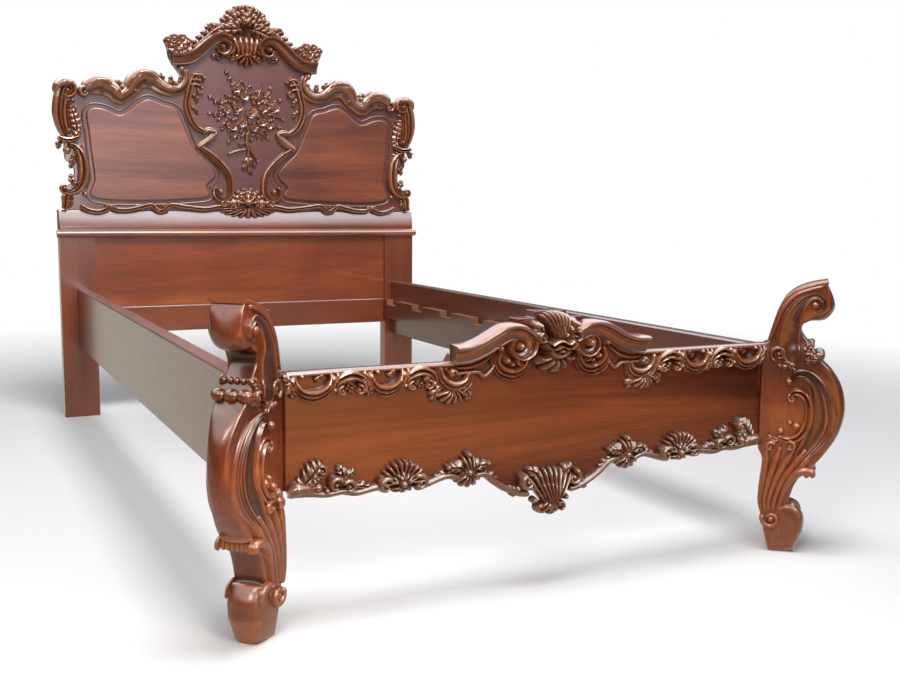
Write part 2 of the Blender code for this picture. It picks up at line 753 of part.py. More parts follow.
# Carved board behind the ornament
SIDE_EDGE = ((-607, 0), (-607, 44), (-606, 72), (-582, 90), (-573, 124), (-582, 152), (-600, 164), (-603, 226))
ROSETTE_SEAT = ((-232, 468), (-254, 500), (-262, 532), (-252, 564), (-226, 566), (-212, 540))
half_edge = list(SIDE_EDGE) + list(offset(curve(SIDE_UPPER, 1), 6)) + list(offset(curve(WAVE, 1), 12)[:-1])
half_edge += list(ROSETTE_SEAT) + list(offset(curve(PEDIMENT, 1), 8)[3:]) + [(-20, 606)]
outline = drawn(on_head, half_edge)
outline += [(-x, z) for x, z in outline[::-1]]
board = facing(slab(outline, -BOARD_THICKNESS, 0.0), BOARD_FRONT)
finish("head_board", mesh_of("head_board", board), MAHOGANY, 0.3)
ground = BOARD_FRONT - JOINT_GAP
head = (on_head, ground)
gap = CARVING_GAP / HEAD_UNIT


def raised_field(name, shells):
    return eased(name, shells[0], FIELD_CHAMFER, 1.2)


HEAD_FIELD = (
    (-534, 318), (-500, 336), (-424, 312), (-330, 372), (-292, 346), (-244, 340), (-220, 276), (-184, 212),
    (-112, 130), (-144, 84), (-160, 42), (-500, 36), (-512, 110), (-526, 250),
)
field = drawn(on_head, curve(HEAD_FIELD, 2, True))
pair("head_field", [slab(field, 0.0, FIELD_RISE)], FIELD, 0.25, ground, raised_field)
carved_pair("head_wave", wave(), head)
carved_pair("head_pediment", pediment(), head, wave(gap))
carved_pair("head_side_scroll", side_scroll(), head, wave(gap), [band_room])
carved_pair("head_cartouche", cartouche(), head, wave(gap) + pediment(gap))
carved_pair("head_rosette", rosette(), head, pediment(gap))
carved("head_shell", base_shell(), head, cartouche(gap) + turned_over(cartouche(gap)), [band_room])
border = [
    ribbon(BORDER, 8.5, BORDER_RISE, RIDGE, 1),
    fan((-464, 12), 15, 0.2, math.pi - 0.2, 2, LEAF_RISE),
    fan((-298, 0), 20, math.pi + 0.3, 2 * math.pi - 0.3, 3, LEAF_RISE, 1.0, 0.6),
]
carved_pair("head_border", border, head, base_shell(gap) + side_scroll(gap) + cartouche(gap), [band_room])
cornices = pediment(gap) + turned_over(pediment(gap))
carved("head_keystone", keystone(), head, cornices)

# Crest: a peony with a spray of leaves and buds down each side
spray = [
    leaf(((-20, 606), (-60, 632), (-96, 634), (-132, 628)), 22, SHELL_RISE),
    ribbon(((-96, 630), (-122, 612), (-150, 580), (-182, 546)), (14, 11, 7), LEAF_RISE, RIDGE, 1),
    button((-126, 612), 14, SHELL_RISE, 6),
    button((-156, 575), 14, SHELL_RISE, 6),
]
peony = [
    flower((0, 648), 80, FLOWER_RISE, 7, 0.12, 0.75, 0.2),
    flower((-4, 660), 40, 1.2 * FLOWER_RISE, 5, 0.2, 0.9, flat=True),
    fan((0, 610), 40, math.pi + 0.4, 2 * math.pi - 0.4, 3, SHELL_RISE, 0.5, 0.8),
]
crest_rooms = cornices + keystone(gap) + rosette(gap) + turned_over(rosette(gap))
carved("head_crest", peony + spray + turned_over(spray), head, crest_rooms)

# Bouquet in the middle panel
BLOOMS = ((-38, 432, 30), (58, 380, 34), (-74, 374, 32), (-30, 304, 42), (32, 318, 34))
FRONDS = (
    ((-40, 440), (-58, 466), (-72, 486)),
    ((16, 400), (32, 440), (40, 470)),
    ((-60, 380), (-96, 376), (-124, 368)),
    ((-40, 300), (-72, 288), (-94, 278)),
)
STEM = ((-6, 284), (-12, 256), (-6, 230), (-14, 196), (-10, 164))
bouquet = [flower((-8, 368), 52, FLOWER_RISE, 6, 0.2)]
bouquet += [flower((x, z), r, 1.1 * LEAF_RISE, 5, 0.2, 1.0, x, flat=True) for x, z, r in BLOOMS]
bouquet += [leaf(points, 12, STEM_RISE, 3) for points in FRONDS]
bouquet.append(ribbon(STEM, (6, 5, 5, 10, 3), STEM_RISE, RIDGE, 2))
bouquet.append(leaf(((-8, 226), (-18, 200), (-10, 166)), 22, LEAF_RISE, 2))
carved("head_bouquet", bouquet, head)

# Footboard drawing, left half
CORNICE = ((-205, 226), (-176, 228), (-150, 236), (-124, 249), (-100, 260), (-76, 261), (-55, 250))
CORNICE_EYE = (-74, 236)
CORNICE_CURL = ((-112, 222), (-116, 206), (-104, 190), (-84, 183), (-64, 190), (-56, 206))
APRON = (
    (-506, 6), (-470, 4), (-440, 0), (-412, 2), (-385, -3), (-345, 2), (-305, -4), (-268, -6), (-215, 8),
    (-180, 0), (-140, 4), (-114, -14), (-90, -29), (-56, -42), (0, -46),
)


def cornice(grow=0.0):
    """One side of the footboard's broken pediment."""
    front = CORNICE_FRONT
    return [
        ribbon(volute(CORNICE, CORNICE_EYE, -3.2, 0.5, 6), (16, 16, 16, 15, 12, 8), front, MOULDED, 2, grow),
        button(CORNICE_EYE, 14, 0.9 * front, grow=grow),
        ribbon(CORNICE_CURL, (8, 10, 11, 10, 8), 0.7 * front, RIDGE, 2, grow),
        button((-64, 210), 12, 0.7 * front, grow=grow),
        button((-100, 214), 16, 0.6 * front, grow=grow),
    ]


def crest_shell(grow=0.0):
    """The shell, roll and leaf in the middle of the footboard's top."""
    return [
        fan((0, 262), 44, -0.35, math.pi + 0.35, 7, CREST_FRONT, 1.0, 0.5, grow),
        button((0, 234), 24, CREST_FRONT, grow=grow),
        fan((0, 216), 46, math.pi + 0.1, 2 * math.pi - 0.1, 5, 0.6 * CREST_FRONT, 0.72, 0.5, grow),
    ]


def scroll_row(grow=0.0):
    """C scrolls and arches, one after the other, along the footboard's top edge."""
    made = []
    for x, wide in ((-463, 30), (-331, 26)):
        near = 0.85 * wide
        line = ((x - wide, 197), (x - near, 173), (x, 162), (x + near, 173), (x + wide, 196))
        made.append(ribbon(line, (6, 8, 9, 8, 6), SCROLL_RISE, RIDGE, 2, grow))
    for x, wide in ((-398, 33), (-268, 33)):
        near = 0.75 * wide
        line = ((x - wide, 178), (x - near, 193), (x, 201), (x + near, 193), (x + wide, 178))
        made.append(ribbon(line, (6, 8, 8, 6), SCROLL_RISE, RIDGE, 2, grow))
    end = ((-228, 196), (-222, 174), (-198, 163), (-173, 172), (-169, 192))
    made.append(ribbon(end, (7, 10, 10, 7), SCROLL_RISE, RIDGE, 2, grow))
    made.append(fan((-200, 160), 32, math.pi + 0.2, 2 * math.pi - 0.1, 4, 0.9 * SCROLL_RISE, 0.75, 0.5, grow))
    made.append(button((-238, 178), 11, SCROLL_RISE, grow=grow))
    made.append(button((-362, 178), 13, SCROLL_RISE, grow=grow))
    return made


def apron_corner(grow=0.0):
    return [
        leaf(((-505, 10), (-482, 16), (-460, 26), (-450, 44)), 20, APRON_RISE, 3, grow=grow),
        button((-462, 14), 16, APRON_RISE, grow=grow),
    ]


def apron_shell(grow=0.0):
    return [
        fan((-300, 12), 40, 0.1, math.pi - 0.1, 6, APRON_RISE, 0.92, 0.4, grow),
        button((-322, 4), 12, APRON_RISE, grow=grow),
        button((-277, 5), 12, APRON_RISE, grow=grow),
    ]


def apron_leaf(grow=0.0):
    return [
        fan((-170, 6), 34, 0.2, math.pi - 0.2, 4, APRON_RISE, 0.95, 0.4, grow),
        fan((-170, 8), 28, math.pi + 0.3, 2 * math.pi - 0.3, 3, APRON_RISE, 0.95, 0.4, grow),
    ]


def apron_middle(grow=0.0):
    return [
        fan((0, -36), 52, math.pi + 0.25, 2 * math.pi - 0.25, 5, 1.4 * APRON_RISE, 0.75, 0.4, grow),
        fan((0, -36), 54, 0.2, math.pi - 0.2, 5, 1.4 * APRON_RISE, 0.62, 0.4, grow),
        button((-50, -20), 12, APRON_RISE, grow=grow),
        button((50, -20), 12, APRON_RISE, grow=grow),
    ]


def bead(first, last):
    """A stretch of the round bead along the apron's lower edge."""
    return ribbon([p for p in APRON if first < p[0] < last], 6, BEAD_RISE, RIDGE, 1)


# Footboard panel, with ends cut to the legs and a hump behind the pediment
HUMP_INSET = 12
panel_edge = drawn(on_foot, offset(curve(APRON, 1), 4))
hump = [tuple(p) for p in offset(curve(CORNICE, 2), HUMP_INSET) if -196 < p[0] < -52]
top_edge = drawn(on_foot, [(-509, 209), (-198, 209)] + hump + [(-47, 266), (-47, 277), (-30, 277), (-30, 297)])
half_panel = top_edge[::-1] + [(-PANEL_HALF, panel_edge[0][1])] + panel_edge[1:]
panel_outline = half_panel + [(-x, z) for x, z in half_panel[-2::-1]]


def mitred(outline, thickness):
    """A panel whose end faces are cut back at 45 degrees towards its rear."""
    front = [(x, 0.0, z) for x, z in outline]
    back = []
    for x, z in outline:
        reach = thickness if abs(x) > PANEL_HALF - JOINT_GAP else 0.0
        back.append((math.copysign(abs(x) + reach, x), thickness, z))
    return shell_of([front, back])


finish("foot_panel", mesh_of("foot_panel", mitred(panel_outline, PANEL_THICKNESS)), FIELD, 0.25)
foot = (on_foot, -JOINT_GAP)
gap = CARVING_GAP / FOOT_UNIT
carved_pair("foot_cornice", cornice(), foot)
carved("foot_crest", crest_shell(), foot, cornice(gap) + turned_over(cornice(gap)))
carved_pair("foot_scrolls", scroll_row(), foot, cornice(gap))
carved_pair("foot_apron_shell", apron_shell(), foot)
carved("foot_apron_middle", apron_middle(), foot)
apron_rooms = apron_shell(gap) + apron_middle(gap)
corner_curl = flower((-412, 18), 20, APRON_RISE, 3, 0.25, 1.1, 0.5)
carved_pair("foot_apron_corner", apron_corner() + [bead(-480, -320), corner_curl], foot, apron_rooms)
carved_pair("foot_apron_leaf", apron_leaf() + [bead(-280, -160), bead(-180, -40)], foot, apron_rooms)

# Scrolled legs, set on the diagonal of each corner
LEG_SOLE = ((29, 0), (80, 0))
LEG_FRONT = (
    (96, 42), (97, 74), (79, 101), (66, 104), (76, 145), (94, 172), (114, 190), (134, 214), (156, 252), (167, 300),
    (161, 348), (140, 386), (118, 408), (98, 434), (77, 462), (78, 480), (92, 486), (120, 490), (137, 512), (134, 536),
    (119, 567),
)
LEG_BACK = ((92, 559), (62, 546), (35, 514), (23, 474), (14, 445), (0, 437))
LEG_HEEL = ((0, 217), (9, 196), (12, 148), (7, 100), (17, 48))
KNEE_LOW, KNEE_HIGH, KNEE_START, ANKLE = 180, 430, 60, 110


def leg_body():
    """The leg's side view carried through its thickness, with a round knee and a slimmer foot."""
    outline = list(LEG_SOLE) + list(curve(LEG_FRONT, 2)) + list(curve(LEG_BACK, 2)) + list(LEG_HEEL)
    rings = []
    for share in (-1.0, -0.6, 0.6, 1.0):
        ring = []
        draw_in = KNEE_ROUND * (1 - math.sqrt(max(0.0, 1 - share * share * 0.98)))
        for point in outline:
            u, z = on_leg(*point)
            on_knee = KNEE_LOW < point[1] < KNEE_HIGH and point[0] > KNEE_START
            swell = math.sin(math.pi * (point[1] - KNEE_LOW) / (KNEE_HIGH - KNEE_LOW)) if on_knee else 0.0
            half = LEG_THICKNESS / 2 - FOOT_PINCH * max(0.0, 1 - point[1] / ANKLE)
            ring.append((u - draw_in * swell, z, share * half))
        rings.append(ring)
    return shell_of(rings)


def leg_scrolls(level, outward):
    """The C scroll raised on one side of the knee, and the buttons on the rolls above and below it."""
    arc = ((56, 378), (84, 380), (112, 356), (124, 316), (118, 276), (94, 246), (66, 246), (58, 264))
    made = [
        ribbon(arc, (6, 10, 12, 12, 10, 6), LEG_SCROLL_RISE, RIDGE, 2),
        button((60, 366), 11, LEG_SCROLL_RISE),
        button((72, 270), 10, LEG_SCROLL_RISE),
        button((90, 522), 12, LEG_SCROLL_RISE),
        button((42, 76), 16, LEG_SCROLL_RISE),
    ]
    if outward < 0:
        made.append(button((32, 416), 13, LEG_SCROLL_RISE))
    found = []
    for corners, faces in made:
        u, z = on_leg(corners[:, 0], corners[:, 1])
        v = outward * (level - 0.5 * LEG_SCROLL_RISE + corners[:, 2])
        found.append((np.stack([u, z, v], axis=1), faces))
    return found


def on_corner(shell):
    """A shell in the leg's side view, stood on the left corner's diagonal."""
    corners, faces = shell
    middle = LEG_THICKNESS / 2
    start = JOINT_GAP * ROOT_HALF * 2
    u, z, v = corners[:, 0] + start, corners[:, 1], corners[:, 2] + middle
    x = -PANEL_HALF - (u + v) * ROOT_HALF
    y = (v - u) * ROOT_HALF
    return np.stack([x, y, z], axis=1), faces


leg_shells = [leg_body()] + leg_scrolls(LEG_THICKNESS / 2, 1) + leg_scrolls(LEG_THICKNESS / 2, -1)
legs = pair("foot_leg", [on_corner(shell) for shell in leg_shells], CARVING, 0.28)

# Corner blocks that tie the leg, the panel and the rail together
slip = JOINT_GAP * math.sqrt(2)
far_side = PANEL_HALF + LEG_THICKNESS * math.sqrt(2) + 2 * slip
block_plan = [
    (-(PANEL_HALF - BLOCK_INSET), PANEL_THICKNESS + JOINT_GAP),
    (-(PANEL_HALF + PANEL_THICKNESS), PANEL_THICKNESS + JOINT_GAP),
    (-(PANEL_HALF + far_side - slip) / 2, (far_side - PANEL_HALF + slip) / 2),
    (-RAIL_OUTER, far_side - RAIL_OUTER),
    (-RAIL_OUTER, BLOCK_END),
    (-(PANEL_HALF - BLOCK_INSET), BLOCK_END),
]
block = prism(block_plan, RAIL_BOTTOM, RAIL_TOP)
pair("foot_block", [block] + foot_hooks[3], MAHOGANY, 0.35, build=cut)

# The whole frame is centred between the knees and the back of the headboard
knee_front = min(vert.co.y for vert in legs[0].data.vertices)
frame.location = (0.0, -(knee_front + HEAD_BACK) / 2, 0.0)
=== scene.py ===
"""Looks of a carved mahogany bed frame, laid out as a Blender add-on and run as a script."""

import math

import bmesh
import bpy
import numpy as np
from mathutils import Matrix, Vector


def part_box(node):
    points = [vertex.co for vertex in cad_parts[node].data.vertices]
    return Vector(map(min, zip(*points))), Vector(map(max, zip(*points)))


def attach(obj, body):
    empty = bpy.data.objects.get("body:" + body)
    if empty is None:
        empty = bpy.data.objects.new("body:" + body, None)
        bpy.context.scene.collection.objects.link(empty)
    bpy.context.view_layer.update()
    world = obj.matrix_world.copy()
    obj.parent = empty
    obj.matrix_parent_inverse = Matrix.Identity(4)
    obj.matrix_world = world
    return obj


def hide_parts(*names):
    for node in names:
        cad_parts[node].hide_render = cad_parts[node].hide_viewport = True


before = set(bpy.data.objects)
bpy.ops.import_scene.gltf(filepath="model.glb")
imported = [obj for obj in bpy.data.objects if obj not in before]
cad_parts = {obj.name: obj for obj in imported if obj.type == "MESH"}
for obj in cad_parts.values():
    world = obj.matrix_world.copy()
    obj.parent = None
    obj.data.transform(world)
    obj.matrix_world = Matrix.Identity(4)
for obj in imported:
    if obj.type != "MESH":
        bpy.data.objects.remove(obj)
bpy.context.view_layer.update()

bl_info = {
    "name": "Carved Mahogany Bed",
    "version": (1, 0, 0),
    "blender": (4, 5, 0),
    "location": "View3D > Sidebar > Bed",
    "description": "Carves and polishes the pieces of a mahogany bed frame",
    "category": "Object",
}

# Drawings are in millimetres: along the board, up it, and out from its face
MM = 0.001
TURN = 2 * math.pi
WHITE = (1, 1, 1, 1)

# Faces and feet of the two boards that carry the carving
HEAD_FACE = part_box("head_board")[0][1]
HEAD_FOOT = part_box("head_board")[0][2]
FOOT_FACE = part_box("foot_panel")[0][1]
FOOT_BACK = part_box("foot_panel")[1][1]
FOOT_BASE = 0.228
HEAD = (HEAD_FACE, HEAD_FOOT)
FOOT = (FOOT_FACE, FOOT_BASE)

# The legs stand across the corners of the footboard's panel
PANEL_HALF = 0.509
LEG_REACH = 0.000424
LEG_MIDDLE = 0.0335
LEG_HALF = 30.0
LEG_ROUND = 4.0
LEG_LEVELS = (-1, -.985, -.94, -.86, -.74, -.58, -.4, -.2, 0, .2, .4, .58, .74, .86, .94, .985, 1)

# Between the backs of carvings, in millimetres
BACK_STEP = 0.03

# Welding distance, height out of the board over which the painted shade at a carving's foot fades, and the
# edge and thickness of the pale skin of painted highlight on the ledgers' seats, in metres
WELD = 2e-5
FOOT_SHADE_DEPTH = 0.012
SEAT_EDGE = 0.002
SEAT_SKIN = 0.0009

# How the photograph was taken, in metres, radians and millimetres
CAMERA_SPOT = (-1.0383, -2.6812, 0.7178)
CAMERA_YAW, CAMERA_PITCH, CAMERA_ROLL = 0.4561, 0.1233, 0.0090
CAMERA_LENS, CAMERA_SENSOR = 43.17, 36.0


# Lines

def smooth_line(points, step=3.0, closed=False):
    """Points about a step apart on a smooth curve through the given ones."""
    knots = np.array(points, float)
    if closed:
        ends = np.vstack([knots[-1:], knots, knots[:2]])
    else:
        ends = np.vstack([2 * knots[:1] - knots[1:2], knots, 2 * knots[-1:] - knots[-2:-1]])
    found = []
    for a, b, c, d in zip(ends, ends[1:], ends[2:], ends[3:]):
        count = max(2, int(np.ceil(np.linalg.norm(c - b) / step)))
        for t in np.arange(count) / count:
            bend = (2 * a - 5 * b + 4 * c - d) * t * t + (3 * b - a - 3 * c + d) * t ** 3
            found.append(b + 0.5 * ((c - a) * t + bend))
    if not closed:
        found.append(knots[-1])
    return np.array(found)


def along(path):
    """Distance gone at each point of a line."""
    return np.concatenate([[0.0], np.cumsum(np.linalg.norm(np.diff(path, axis=0), axis=1))])


def unit(ways):
    return ways / np.maximum(np.linalg.norm(ways, axis=1, keepdims=True), 1e-9)


def left_of(path):
    """Unit directions to the left of a line at each point."""
    way = unit(np.gradient(path, axis=0))
    return np.stack([-way[:, 1], way[:, 0]], axis=1)


def spread(values, at):
    """A value, or values evenly along a line, at each part of it."""
    return np.interp(at, np.linspace(0, 1, len(np.atleast_1d(values))), np.atleast_1d(values))


def volute(points, eye, turn, shrink=0.5, count=12):
    """The points, then a coil round the eye that closes in by the shrink."""
    reach = np.subtract(points[-1], eye)
    far = np.linalg.norm(reach)
    start = math.atan2(reach[1], reach[0])
    turns = []
    for k in range(1, count + 1):
        part = k / count
        r = far * (1 - (1 - shrink) * part)
        turned = start + turn * part
        turns.append((eye[0] + r * math.cos(turned), eye[1] + r * math.sin(turned)))
    return list(points) + turns


def mirror(points):
    return [(-x, z) for x, z in points]


# Carved shapes: each gives points (along, up, out) and faces

ROUND = ((-1, -.1), (-.98, .28), (-.85, .58), (-.6, .83), (-.3, .96), (0, 1), (.3, .96), (.6, .83),
         (.85, .58), (.98, .28), (1, -.1))
WAVE_ROLL = ((-1, -.1), (-1, .30), (-.96, .42), (-.88, .46), (-.7, .46), (-.52, .49), (-.42, .54),
             (-.36, .64), (-.24, .82), (0, .95), (.2, 1), (.29, .98), (.35, .86), (.42, .95), (.55, .92),
             (.73, .75), (.9, .44), (1, -.1))
RIDGES = ((-1, -.1), (-.98, .45), (-.86, .70), (-.72, .62), (-.62, .46), (-.48, .68), (-.28, .86),
          (-.1, .72), (0, .58), (.14, .78), (.38, 1), (.62, .98), (.82, .78), (.97, .4), (1, -.1))
CORNICE = ((-1, -.1), (-1, .40), (-.96, .56), (-.88, .62), (-.8, .56), (-.72, .54), (-.62, .58),
           (-.3, .62), (0, .66), (.1, .66), (.14, .74), (.22, .76), (.28, .74), (.38, .84), (.55, .96),
           (.75, 1), (.92, .86), (1, -.1))
DISH = ((-1, -.1), (-1, .6), (-.95, .9), (-.86, 1), (-.76, .9), (-.6, .76), (-.3, .66), (0, .62),
        (.3, .66), (.6, .76), (.76, .9), (.86, 1), (.95, .9), (1, .6), (1, -.1))
STRAP = ((-1, -.1), (-1, .55), (-.9, .72), (-.55, .78), (-.4, .95), (-.2, 1), (.2, 1), (.4, .95),
         (.55, .78), (.9, .72), (1, .55), (1, -.1))
KNEE = ((-1, -.1), (-1, .5), (-.95, .86), (-.86, 1), (-.76, .86), (-.62, .56), (-.42, .42), (-.2, .42),
        (0, .52), (.12, .68), (.2, .84), (.28, .86), (.35, .70), (.42, .76), (.5, .88), (.57, .70),
        (.64, .74), (.72, .8), (.79, .62), (.85, .6), (.92, .5), (1, -.2), (1, -.9))
TWIN = ((-1, -.1), (-.98, .4), (-.8, .85), (-.5, 1), (-.2, .8), (-.04, .5), (.1, .62), (.4, .9),
        (.7, .86), (.93, .5), (1, -.1))


def sheet(spots, heights):
    """A grid of spots with their heights, as points and four-sided faces."""
    rows, columns = heights.shape
    points = np.dstack([spots, heights]).reshape(-1, 3)
    corner = (np.arange(rows - 1)[:, None] * columns + np.arange(columns - 1)[None, :]).reshape(-1)
    faces = np.stack([corner, corner + columns, corner + columns + 1, corner + 1], axis=1)
    return points, faces


def backed(spots, heights, middle=None):
    """A sheet closed behind: flat towards its middle or, without one, across from edge to edge."""
    if middle is None:
        spots = np.concatenate([spots, spots[:, :1]], axis=1)
        heights = np.concatenate([heights, heights[:, :1]], axis=1)
    else:
        spots = np.concatenate([spots, np.broadcast_to(middle, spots[:1].shape)])
        heights = np.concatenate([heights, np.full_like(heights[:1], heights[-1].min())])
    return sheet(spots, heights)


def moulding(points, half, rise, section=ROUND, step=2.5, ends=(1, 1), frill=None, lift=0.0):
    """A moulding run along a line, with round or cut ends, and frilled at one edge where asked."""
    path = smooth_line(points, step)
    gone = along(path)
    at = gone / gone[-1]
    width = spread(half, at)
    height = spread(rise, at)
    fade = np.ones(len(at))
    for rounded, away, wide in ((ends[0], gone, width[0]), (ends[1], gone[-1] - gone, width[-1])):
        if rounded:
            near = np.clip(away / (1.1 * wide), 0, 1)
            fade = np.minimum(fade, np.sqrt(np.clip(near * (2 - near), 2e-4, 1)))
    s, t = np.array(section, float).T
    s = np.tile(s, (len(at), 1))
    t = np.tile(t, (len(at), 1))
    if frill:
        side, count, depth = frill
        tooth = np.abs(np.sin(np.pi * count * at))[:, None]
        edge = np.clip(s * side, 0, 1)
        s = s * (1 - depth * (1 - tooth) * edge)
        t = t * (1 - 0.45 * (1 - tooth) * edge)
    spots = path[:, None] + left_of(path)[:, None] * ((width * fade)[:, None] * s)[..., None]
    heights = (height * np.sqrt(fade))[:, None] * t + lift * fade[:, None] * (t > 0)
    for end, rounded in ((0, ends[0]), (-1, ends[1])):
        if not rounded:
            spots = np.insert(spots, 0 if end == 0 else len(spots), spots[end], axis=0)
            heights = np.insert(heights, 0 if end == 0 else len(heights), -1.0, axis=0)
    return backed(spots, heights)


def bead(x, z, radius, rise, long=1.0, lift=0.0, sides=14):
    """A round or drawn-out bead."""
    fall = np.radians([0, 18, 36, 54, 72, 88, 100])
    around = np.linspace(0, TURN, sides + 1)
    out = radius * np.sin(fall)[:, None]
    spots = np.dstack([x + out * np.cos(around) * long, z + out * np.sin(around)])
    heights = np.tile((lift + rise * np.cos(fall))[:, None], (1, sides + 1))
    heights[-1] = -1.0
    return backed(spots, heights, (x, z))


def leaf(points, half, rise, lobes=4, tip=0.3, lift=0.0, notch=0.34):
    """A carved leaf along its rib, with forward-swept lobes, veins between them and a rising tip."""
    path = smooth_line(points, 2.0)
    gone = along(path)
    at = gone / gone[-1]
    body = np.sin(np.pi * (0.1 + 0.9 * at ** 0.85)) ** 0.75
    body[-1] = 0.02
    wave = np.abs(np.sin(np.pi * (lobes * at + 0.15)))
    edge = body * (1 - notch * (1 - wave) ** 1.4)
    t = np.array([-1, -1, -.9, -.68, -.44, -.24, -.1, 0, .1, .24, .44, .68, .9, 1, 1])
    way = unit(np.gradient(path, axis=0))
    side = left_of(path)
    sweep = 0.55 * half * np.abs(t) ** 1.3 * np.sin(np.pi * np.clip(at, 0, 1))[:, None]
    spots = path[:, None] + side[:, None] * (half * edge[:, None] * t)[..., None]
    spots = spots + way[:, None] * sweep[..., None]
    crown = (0.62 + tip * at ** 2)[:, None]
    shape = crown * (1 - 0.5 * t ** 2) + 0.34 * np.abs(t) * (wave[:, None] - 0.55)
    shape = shape - 0.26 * np.exp(-(t / 0.1) ** 2)
    heights = lift + rise * shape * np.sqrt(body)[:, None]
    heights[:, 0] = -1.0
    heights[:, -1] = -1.0
    spots = np.concatenate([spots[:1], spots, spots[-1:]])
    heights = np.concatenate([-np.ones((1, 15)), heights, -np.ones((1, 15))])
    return backed(spots, heights)


def fan(x, z, radius, rise, first, last, lobes, stretch=1.0, hollow=0.0, scallop=0.16, lift=0.0):
    """A ribbed shell or palmette opening from one point, bellied or hollow."""
    count = lobes * 8 + 1
    angle = np.linspace(first, last, count)
    rib = np.abs(np.sin(np.pi * np.linspace(0, lobes, count)))
    out = np.array([0.02, .14, .3, .46, .62, .76, .88, .96, 1, 1])[:, None]
    reach = radius * out * (1 - scallop * out ** 2 * (1 - rib) ** 1.3)
    spots = np.dstack([x + reach * np.cos(angle), z + stretch * reach * np.sin(angle)])
    belly = (1 - hollow) * (0.50 + 0.5 * np.sin(np.pi * out ** 0.8)) + hollow * (0.22 + 0.78 * out ** 1.6)
    roll = np.sqrt(np.clip(1 - ((out - 0.86) / 0.16).clip(0, 1) ** 2, 0.12, 1))
    ribbed = 0.42 + 0.58 * rib ** 0.8 * np.clip(out * 2.2, 0.4, 1) + 0.2 * (1 - out)
    heights = lift + rise * belly * roll * ribbed
    heights[-1] = -1.0
    spots = np.concatenate([spots[:, :1], spots, spots[:, -1:]], axis=1)
    heights = np.concatenate([-np.ones((10, 1)), heights, -np.ones((10, 1))], axis=1)
    spots = np.concatenate([np.broadcast_to((x, z), spots[:1].shape), spots])
    heights = np.concatenate([heights[:1], heights])
    return backed(spots, heights, (x, z))


def petal(x, z, radius, angle, opening, floor, up, stretch):
    """One petal of a flower: cupped, with a rolled rim."""
    u = np.array([0.06, .25, .48, .7, .86, .96, 1, 1])[:, None]
    v = np.array([-1, -.8, -.5, -.2, 0, .2, .5, .8, 1])[None, :]
    reach = radius * u * (1 - 0.16 * v ** 2 * u)
    a = angle + opening * v * (0.6 + 0.4 * np.sin(np.pi * 0.75 * u))
    spots = np.dstack([x + reach * np.cos(a), z + stretch * reach * np.sin(a)])
    shape = 0.12 + u - 0.15 * u ** 3 - 0.32 * v ** 2 * u
    heights = floor + up * shape
    heights[-2] -= 0.16 * up
    heights[-1] = min(-1.0, floor * 0.3 - 1.0)
    return backed(spots, heights, (x, z))


def flower(x, z, radius, rise, turn, stretch, lift, heart):
    """A full flower: two layers of petals, one inside the other, round a bead."""
    made = []
    for layer, (count, size, raised) in enumerate(((6, 1.0, 0.0), (4, 0.78, 0.24))):
        for k in range(count):
            angle = turn + layer * 0.7 + TURN * (k + 0.12 * math.sin(3.1 * k + layer)) / count
            floor = lift + rise * (raised + 0.05 * (k % 2))
            opening = 0.66 * TURN / count
            made.append(petal(x, z, radius * size, angle, opening, floor, rise * 0.42, stretch))
    made.append(bead(x, z, radius * heart, rise * 0.3, lift=lift + rise * 0.75))
    return made


def coil(x, z, radius, rise, start, turn, half, eye):
    """A small spiral with a bead for its eye."""
    begin = [(x + radius * math.cos(start), z + radius * math.sin(start))]
    line = volute(begin, (x, z), turn, 0.42, 14)
    return [moulding(line, (half, half, half * 0.6), (rise, rise, rise * 0.8), ROUND, 1.6),
            bead(x, z, eye, rise * 0.9)]


def frond(points, count, long, wide, rise, angle=0.7):
    """A spray: a thin stalk with pointed leaflets on both sides and one at the tip."""
    path = smooth_line(points, 2.0)
    at = along(path) / along(path)[-1]
    way = np.gradient(path, axis=0)
    made = [moulding(points, (wide * 0.35, wide * 0.25), rise * 0.7, ROUND, 3.0)]
    for p in np.linspace(0.12, 0.92, count):
        spot = np.array([np.interp(p, at, path[:, 0]), np.interp(p, at, path[:, 1])])
        heading = math.atan2(np.interp(p, at, way[:, 1]), np.interp(p, at, way[:, 0]))
        size = long * (1.05 - 0.45 * p)
        for turned in (heading + angle, heading - angle):
            end = spot + size * np.array([math.cos(turned), math.sin(turned)])
            middle = (spot + end) / 2 + 0.08 * size * np.array([math.cos(heading), math.sin(heading)])
            made.append(leaf([spot, middle, end], wide, rise, 1, 0.2, notch=0.15))
    tip = path[-1]
    heading = math.atan2(way[-1, 1], way[-1, 0])
    end = tip + long * 0.7 * np.array([math.cos(heading), math.sin(heading)])
    made.append(leaf([path[-3], (tip + end) / 2, end], wide, rise, 1, 0.2, notch=0.15))
    return made


# From drawings to pieces

def on_leg(points):
    """Leg drawings stand on the diagonal of the left corner: reach, height, and out to the rail's side."""
    u = points[:, 0] * MM + LEG_REACH
    v = points[:, 2] * MM + LEG_MIDDLE
    half = math.sqrt(0.5)
    return np.stack([-PANEL_HALF - (u + v) * half, FOOT_FACE + (v - u) * half, points[:, 1] * MM], axis=1)


def stood(outline, base):
    """A drawn outline in metres, stood on its base."""
    return [(x * MM, base + z * MM) for x, z in outline]


def flat_list(shapes):
    found = []
    for shape in shapes:
        found += flat_list(shape) if isinstance(shape, list) else [shape]
    return found


def gathered(shapes):
    """Several carved shapes as one set of points and faces, with no two backs in one plane."""
    points, faces, start = [], [], 0
    for k, (p, f) in enumerate(flat_list(shapes)):
        p = p.copy()
        p[p[:, 2] <= -0.99, 2] -= BACK_STEP * (k % 80)
        points.append(p)
        faces.append(f + start)
        start += len(p)
    return np.concatenate(points), np.concatenate(faces)


